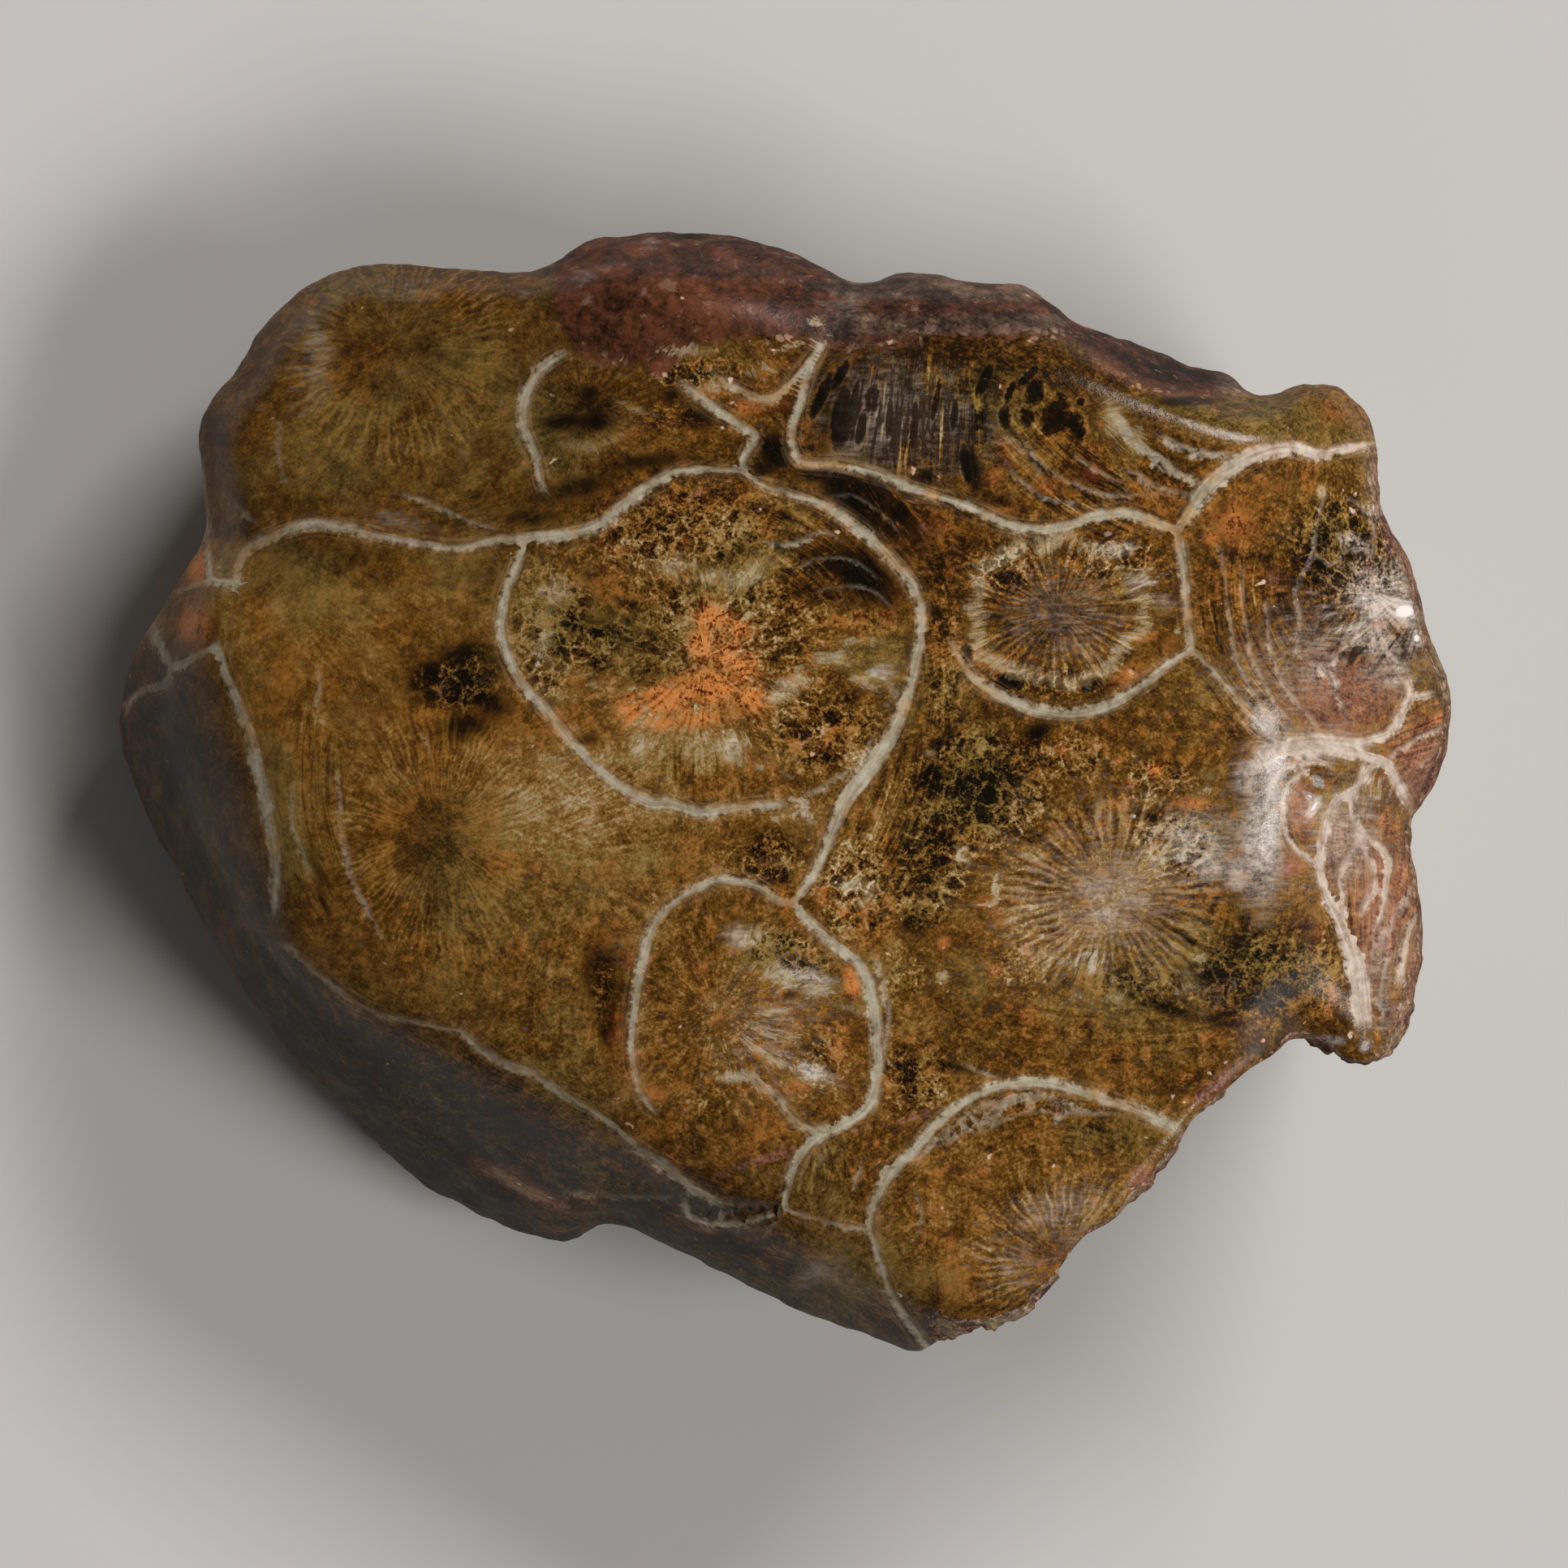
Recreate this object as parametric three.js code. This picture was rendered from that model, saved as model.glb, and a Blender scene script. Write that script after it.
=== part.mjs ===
// A polished piece of fossil colony coral: a thick slice with a domed, lapped face, broken edges and a
// flat sawn back. It lies on the sawn back with the polished face up.
// Millimetres, +Z up. The origin is on the sawn face, under the middle of the outline's bounding box.
import * as THREE from "three";

// Driving dimensions.
const DOME_TOP = 19.6; // height of the polished face at its highest
const DOME_AT = [9, -2]; // where that is, seen from above
const DOME_RADIUS = 110; // the face is part of a ball of this radius
const FACET_BLEND = 0.55; // how softly the lapped facets run into each other
const BASE_SHARE = 0.88; // the sawn back, as a share of the outline
const SAW_CHAMFER = 0.5; // the ground edge of the sawn back
const HACKLE = 1.1; // depth of the ledges on the broken sides

// Mesh steps.
const RINGS = 26; // rings of the polished face, the outermost holding 8 * RINGS points
const SIDE_STEPS = 8; // rings down the side
const EVENING_PASSES = 60; // how often the points of the face are evened out

// The outline seen from above, anticlockwise from the right-hand bulge. The broken stretches have short
// straight runs and two bites, and the lapped stretches are long curves.
const OUTLINE = [
  // right-hand bulge, up to the step behind it
  [27.45, 3.0], [27.35, 5.0], [26.75, 6.0], [26.35, 7.4], [26.2, 8.5], [25.8, 9.6], [25.1, 10.9], [24.6, 11.8],
  [24.4, 13.8], [24.3, 15.0], [23.95, 15.85], [23.3, 16.35], [22.9, 16.85], [21.8, 16.95], [20.7, 16.75],
  [19.6, 16.4], [19.0, 16.55], [18.7, 17.0], [18.2, 17.4], [17.2, 17.5],
  // back edge, with two low shoulders and the red hump
  [15.6, 18.15], [14.0, 18.8], [12.2, 19.25], [11.6, 19.6], [11.0, 20.2], [10.1, 20.85], [9.5, 21.15],
  [7.4, 21.2], [5.0, 21.55], [4.0, 21.3], [2.8, 21.1], [1.6, 21.7], [0.0, 22.5], [-2.2, 23.05], [-5.0, 23.2],
  [-7.4, 23.05], [-8.8, 22.55], [-9.5, 21.9], [-11.0, 21.6], [-14.0, 21.75],
  // top left lobe and the left side
  [-17.2, 21.9], [-19.0, 21.4], [-20.6, 20.35], [-21.9, 19.0], [-22.8, 17.3], [-23.8, 16.3], [-24.25, 14.9],
  [-24.0, 12.8], [-23.9, 11.0], [-24.3, 9.9], [-25.0, 9.0], [-25.4, 8.0], [-26.2, 7.0], [-27.0, 5.6],
  [-27.5, 3.6], [-27.5, 2.1], [-27.15, 0.9], [-26.65, 0.0], [-26.45, -0.9], [-25.5, -2.5],
  // lower left side, down to the bite
  [-24.3, -4.9], [-22.7, -7.5], [-21.0, -10.1], [-19.0, -12.3], [-16.8, -14.65], [-14.6, -16.5],
  [-12.0, -17.8], [-9.9, -18.45], [-8.5, -18.5], [-8.2, -18.2], [-7.9, -17.85], [-7.2, -17.6], [-6.3, -17.95],
  [-4.0, -19.0], [-2.0, -20.05], [0.2, -21.2], [2.6, -22.05], [4.4, -22.8], [5.4, -23.15], [6.2, -23.15],
  // broken lower right edge, up to the second bite
  [7.6, -22.55], [9.4, -21.6], [11.0, -20.4], [11.6, -19.5], [12.3, -18.5], [13.75, -17.75], [14.05, -17.1],
  [15.0, -15.9], [15.85, -15.0], [16.6, -13.9], [17.2, -13.35], [18.3, -12.4], [19.3, -11.5], [20.3, -11.1],
  [20.85, -10.8], [21.2, -10.3], [21.65, -10.25], [21.95, -10.6], [22.35, -11.15],
  // lower right bulge
  [23.4, -11.4], [24.4, -11.3], [25.3, -10.7], [25.75, -9.9], [26.15, -8.2], [26.35, -6.2], [26.2, -4.2],
  [25.8, -2.3], [25.75, -1.2], [26.2, -0.5], [26.8, 0.3], [27.25, 1.3],
];

// Lapped facets that cut the dome: a point on the crest of each, the way it falls and its slope.
const FACETS = [
  { name: "top left", at: [-14.0, 12.0, 15.9], falls: 130, slope: 0.5 },
  { name: "left", at: [-21.7, 1.0, 15.2], falls: 192, slope: 1.35 },
  { name: "left foot", at: [-19.6, -7.0, 15.6], falls: 224, slope: 1.9 },
  { name: "lower left", at: [-9.0, -12.7, 17.6], falls: 240, slope: 2.0 },
  { name: "bottom", at: [1.5, -17.4, 17.9], falls: 238, slope: 0.85 },
  { name: "lower right bulge", at: [21.6, -4.0, 18.9], falls: 12, slope: 0.8 },
  { name: "upper right bulge", at: [22.0, 8.0, 18.2], falls: 12, slope: 0.55 },
  { name: "back", at: [5.0, 18.6, 17.7], falls: 86, slope: 1.15 },
  { name: "red hump", at: [-5.0, 17.6, 17.2], falls: 96, slope: 0.7 },
];

// Local swellings and hollows: middle, height, the two half-widths and the way the long one lies.
const SWELLS = [
  { name: "red hump", at: [-4.5, 20.5], height: 1.5, along: 4.0, across: 1.6, turn: 0 },
  { name: "corner knob", at: [22.0, 15.0], height: 0.8, along: 2.6, across: 1.6, turn: -20 },
  { name: "back gully", at: [16.2, 17.9], height: -3.0, along: 2.9, across: 0.95, turn: -22 },
  { name: "gully end", at: [19.3, 17.2], height: -1.6, along: 1.0, across: 0.9, turn: 0 },
  { name: "right groove", at: [25.6, -0.6], height: -1.5, along: 3.2, across: 1.0, turn: 22 },
  { name: "white ridge", at: [20.8, 2.0], height: 0.55, along: 2.8, across: 0.9, turn: 8 },
  { name: "lower right bite", at: [21.4, -10.4], height: -1.3, along: 1.1, across: 0.8, turn: 120 },
  { name: "lower left bite", at: [-7.6, -17.4], height: -1.2, along: 1.2, across: 1.0, turn: 60 },
  { name: "pink ledge", at: [-11.0, -16.3], height: 1.5, along: 2.8, across: 0.9, turn: -28 },
  { name: "left lobe dip", at: [-23.3, 10.6], height: -1.2, along: 2.2, across: 1.4, turn: -20 },
  { name: "central swell", at: [-2.5, 6.5], height: 0.5, along: 6.0, across: 5.0, turn: 0 },
  { name: "middle hollow", at: [7.0, -3.0], height: -0.35, along: 5.0, across: 3.0, turn: 60 },
];

// How the face turns over at the outline, at stations round it: share of the way round, radius of the
// turn, and how broken the side below is.
const EDGE_STATIONS = [
  { share: 0.0, radius: 0.9, broken: 0.7 },
  { share: 0.1, radius: 1.2, broken: 0.3 },
  { share: 0.2, radius: 1.3, broken: 0.5 },
  { share: 0.32, radius: 2.2, broken: 0.2 },
  { share: 0.45, radius: 2.4, broken: 0.0 },
  { share: 0.55, radius: 2.2, broken: 0.0 },
  { share: 0.68, radius: 2.0, broken: 0.1 },
  { share: 0.74, radius: 1.4, broken: 0.4 },
  { share: 0.78, radius: 0.7, broken: 1.0 },
  { share: 0.9, radius: 0.7, broken: 1.0 },
  { share: 0.95, radius: 0.8, broken: 0.9 },
];

const degrees = THREE.MathUtils.degToRad;
const points = OUTLINE.map(([x, y]) => new THREE.Vector3(x, y, 0));
const rimCurve = new THREE.CatmullRomCurve3(points, true, "centripetal");
rimCurve.arcLengthDivisions = 2000;
const RIM_POINTS = 8 * RINGS;
const rim = rimCurve.getSpacedPoints(RIM_POINTS).slice(0, RIM_POINTS);
centreOnBox(rim);

function centreOnBox(loop) {
  const box = new THREE.Box3().setFromPoints(loop);
  const middle = box.getCenter(new THREE.Vector3());
  loop.forEach((p) => p.sub(middle));
}

// A value between the edge stations, at a share of the way round.
function edgeValue(share, key) {
  const next = EDGE_STATIONS.findIndex((s) => s.share > share);
  const b = EDGE_STATIONS[next < 0 ? 0 : next];
  const a = EDGE_STATIONS[(next < 0 ? EDGE_STATIONS.length : next) - 1];
  const span = (next < 0 ? 1 : b.share) - a.share;
  return THREE.MathUtils.lerp(a[key], b[key], (share - a.share) / span);
}

// The lapped face before its edge is turned over: the lowest of the dome and the facets, blended.
function faceHeight(x, y) {
  const [cx, cy] = DOME_AT;
  const dome = DOME_TOP - ((x - cx) ** 2 + (y - cy) ** 2) / (2 * DOME_RADIUS);
  const heights = FACETS.map(({ at, falls, slope }) => {
    const run = (x - at[0]) * Math.cos(degrees(falls)) + (y - at[1]) * Math.sin(degrees(falls));
    return at[2] - slope * run;
  });
  const sum = [dome, ...heights].reduce((total, z) => total + Math.exp(-z / FACET_BLEND), 0);
  return -FACET_BLEND * Math.log(sum) + swellHeight(x, y);
}

function swellHeight(x, y) {
  return SWELLS.reduce((total, { at, height, along, across, turn }) => {
    const [dx, dy] = [x - at[0], y - at[1]];
    const [c, s] = [Math.cos(degrees(turn)), Math.sin(degrees(turn))];
    const u = (dx * c + dy * s) / along;
    const v = (dy * c - dx * s) / across;
    return total + height * Math.exp(-(u * u + v * v) / 2);
  }, 0);
}

// Distance from a point to the outline, and how far round the nearest place is.
function nearestOnRim(x, y) {
  let best = { distance: Infinity, share: 0 };
  rim.forEach((a, i) => {
    const b = rim[(i + 1) % RIM_POINTS];
    const [ex, ey] = [b.x - a.x, b.y - a.y];
    const along = ((x - a.x) * ex + (y - a.y) * ey) / (ex * ex + ey * ey);
    const k = THREE.MathUtils.clamp(along, 0, 1);
    const distance = Math.hypot(x - a.x - k * ex, y - a.y - k * ey);
    if (distance < best.distance) best = { distance, share: (i + k) / RIM_POINTS };
  });
  return best;
}

// Height of the finished face, with its edge turned over in a quarter round.
function topHeight(x, y) {
  const { distance, share } = nearestOnRim(x, y);
  const radius = edgeValue(share, "radius");
  const reach = Math.max(radius - distance, 0);
  return faceHeight(x, y) - (radius - Math.sqrt(radius ** 2 - reach ** 2));
}

// The face is a square grid bent round the outline, so that its points are spread evenly. Grid row and
// column run from -RINGS to RINGS, and the ring of a point is the larger of the two.
const SIDE = 2 * RINGS + 1;
const FAN_CENTRE = [12, 7]; // every place on the outline can be seen from here
const gridIndex = (i, j) => (i + RINGS) * SIDE + (j + RINGS);

// Step round a square ring, anticlockwise from the middle of its right-hand side.
function stepOnRing(i, j, k) {
  if (i === k && j >= 0 && j < k) return j;
  if (j === k && i > -k) return k + (k - i);
  if (i === -k && j > -k) return 3 * k + (k - j);
  if (j === -k && i < k) return 5 * k + (i + k);
  return 7 * k + (j + k);
}

function faceGrid() {
  const grid = new Array(SIDE * SIDE);
  for (let i = -RINGS; i <= RINGS; i += 1) {
    for (let j = -RINGS; j <= RINGS; j += 1) {
      const k = Math.max(Math.abs(i), Math.abs(j));
      const edge = k === 0 ? rim[0] : rimBetween((stepOnRing(i, j, k) * RINGS) / k);
      const share = k / RINGS;
      grid[gridIndex(i, j)] = new THREE.Vector3(
        THREE.MathUtils.lerp(FAN_CENTRE[0], edge.x, share),
        THREE.MathUtils.lerp(FAN_CENTRE[1], edge.y, share),
        0,
      );
    }
  }
  evenOut(grid);
  grid.forEach((p) => {
    p.z = topHeight(p.x, p.y);
  });
  return grid;
}

function rimBetween(step) {
  const i = Math.floor(step);
  return rim[i % RIM_POINTS].clone().lerp(rim[(i + 1) % RIM_POINTS], step - i);
}

// Moves each inner point to the middle of its four neighbours, again and again, then lets the rings go
// back towards the fan, the more so the further out they are.
function evenOut(grid) {
  const fan = grid.map((p) => p.clone());
  const inner = RINGS - 1;
  const steps = [SIDE, -SIDE, 1, -1];
  for (let pass = 0; pass < EVENING_PASSES; pass += 1) {
    for (let i = -inner; i <= inner; i += 1) {
      for (let j = -inner; j <= inner; j += 1) {
        const index = gridIndex(i, j);
        const p = grid[index].set(0, 0, 0);
        steps.forEach((step) => p.addScaledVector(grid[index + step], 0.25));
      }
    }
  }
  for (let i = -inner; i <= inner; i += 1) {
    for (let j = -inner; j <= inner; j += 1) {
      const share = Math.max(Math.abs(i), Math.abs(j)) / RINGS;
      grid[gridIndex(i, j)].lerp(fan[gridIndex(i, j)], share);
    }
  }
}

// The outline with its bites and corners smoothed away, which the sides run down to.
function smoothedRim() {
  const reach = Math.round(RIM_POINTS / 26);
  return rim.map((_, i) => {
    const sum = new THREE.Vector3();
    for (let k = -reach; k <= reach; k += 1) sum.add(rim[(i + k + RIM_POINTS) % RIM_POINTS]);
    return sum.divideScalar(2 * reach + 1);
  });
}

// Ledges of the broken sides: three slanting folded waves, which make flat faces that meet in creases.
// The result runs from 0 to 1.
function ledges(share, z) {
  const fold = (turns) => Math.abs(2 * (turns - Math.floor(turns)) - 1);
  const wide = fold(7 * share + 0.17 * z + 0.1);
  const middling = fold(17 * share + 0.09 * z);
  const small = fold(31 * share - 0.16 * z + 0.2);
  return (wide + middling + 0.6 * small) / 2.6;
}

// Points of one ring of the side: depth runs from 0 at the outline to 1 at the sawn back.
function sideRing(rimHeights, foot, depth) {
  return rim.map((p, i) => {
    const share = i / RIM_POINTS;
    const broken = edgeValue(share, "broken");
    const tuck = THREE.MathUtils.lerp(depth ** 2.4, depth ** 1.3, broken);
    const z = THREE.MathUtils.lerp(rimHeights[i], SAW_CHAMFER, depth);
    const at = p.clone().lerp(foot[i], tuck);
    const bite = broken * HACKLE * ledges(share, z) * Math.min(1, 6 * depth * (1 - depth));
    const inward = at.length();
    at.multiplyScalar((inward - bite) / inward);
    return at.setZ(z);
  });
}

function stoneGeometry() {
  const vertices = faceGrid();
  const faces = [];
  for (let i = -RINGS; i < RINGS; i += 1) {
    for (let j = -RINGS; j < RINGS; j += 1) {
      const [a, b] = [gridIndex(i, j), gridIndex(i + 1, j)];
      const [c, d] = [gridIndex(i + 1, j + 1), gridIndex(i, j + 1)];
      const outer = i * j >= 0 && (i + 0.5) * (j + 0.5) > 0;
      if (outer) faces.push([a, b, c], [a, c, d]);
      else faces.push([a, b, d], [b, c, d]);
    }
  }

  // The last ring of the face starts the side.
  const loop = new Array(RIM_POINTS);
  for (let i = -RINGS; i <= RINGS; i += 1) {
    for (let j = -RINGS; j <= RINGS; j += 1) {
      if (Math.max(Math.abs(i), Math.abs(j)) === RINGS) loop[stepOnRing(i, j, RINGS)] = gridIndex(i, j);
    }
  }
  const rimHeights = loop.map((index) => vertices[index].z);
  const foot = smoothedRim().map((p) => p.multiplyScalar(BASE_SHARE));
  let upper = loop;
  const addRing = (ring) => {
    const lower = ring.map((p) => vertices.push(p) - 1);
    upper.forEach((a, i) => {
      const next = (i + 1) % RIM_POINTS;
      faces.push([a, lower[i], lower[next]], [a, lower[next], upper[next]]);
    });
    upper = lower;
  };
  for (let step = 1; step <= SIDE_STEPS; step += 1) {
    addRing(sideRing(rimHeights, foot, step / SIDE_STEPS));
  }
  addRing(foot.map((p) => p.clone().setLength(p.length() - SAW_CHAMFER).setZ(0)));

  // The sawn back, as a fan.
  const middle = vertices.push(new THREE.Vector3(0, 0, 0)) - 1;
  upper.forEach((a, i) => faces.push([middle, upper[(i + 1) % RIM_POINTS], a]));

  const geometry = new THREE.BufferGeometry();
  const flat = vertices.flatMap((p) => [p.x, p.y, p.z]);
  geometry.setAttribute("position", new THREE.Float32BufferAttribute(flat, 3));
  geometry.setIndex(faces.flat());
  return geometry;
}

const coralStone = new THREE.MeshStandardMaterial({ color: 0x6a4a26, roughness: 0.32, metalness: 0 });
const slice = new THREE.Mesh(stoneGeometry(), coralStone);
slice.name = "coral_slice";

const part = new THREE.Group();
part.add(slice);
export default part;
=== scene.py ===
import math

import bmesh
import bpy
import numpy as np
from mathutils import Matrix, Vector, geometry, kdtree, noise

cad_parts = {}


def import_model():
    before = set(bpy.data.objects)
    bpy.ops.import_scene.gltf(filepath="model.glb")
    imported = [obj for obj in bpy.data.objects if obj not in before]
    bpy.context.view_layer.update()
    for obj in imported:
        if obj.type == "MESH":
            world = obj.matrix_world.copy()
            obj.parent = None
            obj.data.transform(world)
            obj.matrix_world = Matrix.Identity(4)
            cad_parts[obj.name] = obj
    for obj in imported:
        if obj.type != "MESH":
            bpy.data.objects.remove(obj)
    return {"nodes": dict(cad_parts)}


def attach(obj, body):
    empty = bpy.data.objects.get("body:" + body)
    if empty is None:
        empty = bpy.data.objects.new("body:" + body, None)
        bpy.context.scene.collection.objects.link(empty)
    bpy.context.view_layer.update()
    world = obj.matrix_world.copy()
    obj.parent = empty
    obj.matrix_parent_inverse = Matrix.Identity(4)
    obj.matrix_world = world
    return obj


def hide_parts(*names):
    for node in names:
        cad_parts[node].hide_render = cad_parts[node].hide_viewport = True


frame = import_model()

bpy.context.view_layer.update()
MM = 0.001


# The camera
# The stone lies on its sawn back, and the camera looks straight down on the polished face from far off,
# with a long lens, so that the view takes in a square a little wider than the stone.
VIEW_WIDTH = 64.01 * MM  # what the frame takes in, at the height of the polished face
VIEW_SHIFT = 0.43 * MM  # how far behind the stone's middle the frame's middle is
FACE_HEIGHT = 16.0 * MM
CAMERA_HEIGHT = 900.0 * MM

lens_data = bpy.data.cameras.new("overhead_camera")
lens_data.lens = lens_data.sensor_width * (CAMERA_HEIGHT - FACE_HEIGHT) / VIEW_WIDTH
lens_data.clip_start = 0.01
lens_data.clip_end = 10.0


def added(name, data):
    """Adds an object to the scene, at the origin and unturned."""
    made = bpy.data.objects.new(name, data)
    bpy.context.scene.collection.objects.link(made)
    return made


camera = added("overhead_camera", lens_data)
camera.location = (0.0, VIEW_SHIFT, CAMERA_HEIGHT)
bpy.context.scene.camera = camera


# The block of stone
# One thick slice of fossil coral limestone, ground and lapped to a dome on its upper face, broken at the
# right and lower right, and cut flat with a stone saw underneath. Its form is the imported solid's, refined.
REFINING = 2  # how often each quad of the solid is divided
BACK_SPACING = 0.36  # distance in millimetres between the points of the sawn back
BROKEN_FROM, BROKEN_TO = -77.0, -14.0  # the broken stretch, in degrees round the stone's middle
BROKEN_FADE = 4.0  # degrees in which it sets in and ends
# The rest is in millimetres, apart from shares.
BREAK_FACES = [(0.9, 5.0), (0.45, 2.1), (0.2, 0.9)]  # a break's flat faces: share and size, large to small
LEDGE_DEPTH, SWELL_DEPTH, CRUMB_DEPTH = 0.34, 0.2, 0.08
BREAK_BACK = 0.24  # how far the break is set back under the rim
DEEPER_BELOW = 1.4  # the share by which it is deeper from 9 mm down
LAPPED_SWELL = 0.12
SIDES_BACK = 0.05  # how far all the sides are set back
CRACK_FROM, CRACK_TO = (-3.3, -17.2), (-0.3, -16.95)
CRACK_HALF, CRACK_DEPTH = 0.16, 0.35


def without_back(node):
    """The solid's mesh with its loose triangles merged and paired into quads, open where it is sawn."""
    shell = bmesh.new()
    shell.from_mesh(node.data)
    bmesh.ops.remove_doubles(shell, verts=shell.verts, dist=1e-7)
    sawn = [v for v in shell.verts if v.co.z < 1e-6]
    hub = max(sawn, key=lambda v: len(v.link_edges))
    bmesh.ops.delete(shell, geom=[hub], context="VERTS")
    bmesh.ops.join_triangles(
        shell, faces=shell.faces[:], angle_face_threshold=math.pi, angle_shape_threshold=math.pi
    )
    crease = shell.edges.layers.float.new("crease_edge")
    for edge in shell.edges:
        if edge.is_boundary:
            edge[crease] = 1.0
    return shell


def refined(shell):
    """The shell with each quad divided smoothly."""
    coarse = bpy.data.meshes.new("coarse_shell")
    shell.to_mesh(coarse)
    shell.free()
    holder = added("coarse_shell", coarse)
    divide = holder.modifiers.new("divide", "SUBSURF")
    divide.levels = divide.render_levels = REFINING
    divide.boundary_smooth = "PRESERVE_CORNERS"
    fine = bpy.data.meshes.new_from_object(holder.evaluated_get(bpy.context.evaluated_depsgraph_get()))
    bpy.data.objects.remove(holder)
    return fine


def sawn_loop(shell):
    """The points round the sawn back, in order."""
    edge = next(e for e in shell.edges if e.is_boundary)
    loop = [edge.verts[0], edge.verts[1]]
    while True:
        ahead = [e.other_vert(loop[-1]) for e in loop[-1].link_edges if e.is_boundary]
        ahead = [v for v in ahead if v is not loop[-2]]
        if ahead[0] is loop[0]:
            return loop
        loop.append(ahead[0])


def close_back(fine):
    """Fills the sawn back with an even net of small triangles."""
    shell = bmesh.new()
    shell.from_mesh(fine)
    loop = sawn_loop(shell)
    rim = np.array([v.co[:2] for v in loop]) / MM
    around = np.arctan2(rim[:, 1], rim[:, 0])
    order = np.argsort(around)
    reach = np.hypot(rim[:, 0], rim[:, 1])
    lo, hi = rim.min(0), rim.max(0)
    rows = np.arange(lo[1], hi[1], BACK_SPACING * math.sqrt(0.75))
    inner = []
    for row, y in enumerate(rows):
        xs = np.arange(lo[0] + 0.5 * BACK_SPACING * (row % 2), hi[0], BACK_SPACING)
        limit = np.interp(np.arctan2(y, xs), around[order], reach[order], period=2 * math.pi)
        inner += [(x, y) for x in xs[np.hypot(xs, y) < limit - 0.7 * BACK_SPACING]]
    flat = [Vector(p) for p in rim.tolist() + inner]
    edges = [(i, (i + 1) % len(loop)) for i in range(len(loop))]
    net = geometry.delaunay_2d_cdt(flat, edges, [], 1, 1e-5)
    points = [loop[source[0]] if source and source[0] < len(loop) else None for source in net[3]]
    for i, spot in enumerate(net[0]):
        if points[i] is None:
            points[i] = shell.verts.new((spot.x * MM, spot.y * MM, 0.0))
    for a, b, c in net[2]:
        shell.faces.new((points[a], points[c], points[b]))
    bmesh.ops.recalc_face_normals(shell, faces=shell.faces)
    shell.normal_update()
    return shell


def ease(value, low, high):
    """0 below low, 1 above high and a smooth rise between; low may be the larger."""
    t = np.clip((value - low) / (high - low), 0.0, 1.0)
    return t * t * (3.0 - 2.0 * t)


def chipped(spot, size):
    """Depth of a break made of flat faces: each face has its own tilt and depth, from -1 to 1."""
    spot = spot / size
    seed = noise.voronoi(spot)[1][0]
    tilt = noise.cell_vector(seed * 7.3) * 2.0 - Vector((1.0, 1.0, 1.0))
    return max(-1.0, min(1.0, (spot - seed).dot(tilt) + 0.35 * tilt.x))


def break_edges(shell):
    """Breaks the sides where the stone was snapped and opens the crack. Returns how much each point is
    in the snapped stretch."""
    shell.verts.ensure_lookup_table()
    at = np.array([v.co for v in shell.verts]) / MM
    facing = np.array([v.normal for v in shell.verts])
    round_by = np.degrees(np.arctan2(at[:, 1], at[:, 0]))
    snapped = ease(round_by, BROKEN_FROM, BROKEN_FROM + BROKEN_FADE)
    snapped *= ease(round_by, BROKEN_TO, BROKEN_TO - BROKEN_FADE)
    above_back = ease(at[:, 2], 0.3, 1.2)
    cliff = snapped * ease(facing[:, 2], 0.75, 0.35) * above_back
    side = ease(facing[:, 2], 0.6, 0.2) * above_back
    crack_way = np.array(CRACK_TO) - np.array(CRACK_FROM)
    crack_long = np.linalg.norm(crack_way)
    crack_way /= crack_long
    past = at[:, :2] - np.array(CRACK_FROM)
    along = past @ crack_way
    across = past @ np.array([-crack_way[1], crack_way[0]])
    opening = CRACK_HALF * np.sqrt(np.clip(1 - (2 * along / crack_long - 1) ** 2, 0, 1)) + 1e-6
    crack = CRACK_DEPTH * np.exp(-((across / opening) ** 2)) * (facing[:, 2] > 0.2) * (np.abs(across) < 1)
    crack *= (along > 0) & (along < crack_long)
    for i, vert in enumerate(shell.verts):
        spot = Vector(at[i])
        push = -crack[i]
        if cliff[i] > 0.01:
            ledges = LEDGE_DEPTH * sum(share * chipped(spot, size) for share, size in BREAK_FACES)
            swell = SWELL_DEPTH * noise.fractal(spot * 0.22, 1.0, 2.0, 2)
            crumbs = CRUMB_DEPTH * noise.fractal(spot * 3.0, 0.8, 2.0, 3)
            deeper = 1.0 + DEEPER_BELOW * ease(at[i, 2], 13.0, 9.0)
            push += cliff[i] * ((ledges + swell - BREAK_BACK) * deeper - SIDES_BACK + crumbs)
        elif side[i] > 0.01:
            push += side[i] * (LAPPED_SWELL * noise.fractal(spot * 0.7, 1.0, 2.0, 3) - SIDES_BACK)
        if push:
            vert.co += vert.normal * push * MM
    shell.normal_update()
    return snapped


shell = close_back(refined(without_back(frame["nodes"]["coral_slice"])))
snapped = break_edges(shell)
block = bpy.data.meshes.new("polished_coral")
shell.to_mesh(block)
shell.free()
stone = added("polished_coral", block)
for face in block.polygons:
    face.use_smooth = True


def at_points(what):
    """The place or the normal of every point of the stone."""
    values = np.zeros(len(block.vertices) * 3)
    block.vertices.foreach_get(what, values)
    return values.reshape(-1, 3)


at = at_points("co") / MM
facing = at_points("normal")


def record(name, *columns):
    """Keeps three values for every point of the stone, as one vector attribute."""
    layer = block.attributes.new(name, "FLOAT_VECTOR", "POINT")
    layer.data.foreach_set("vector", np.stack(columns, 1).astype(np.float32).ravel())


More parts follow.
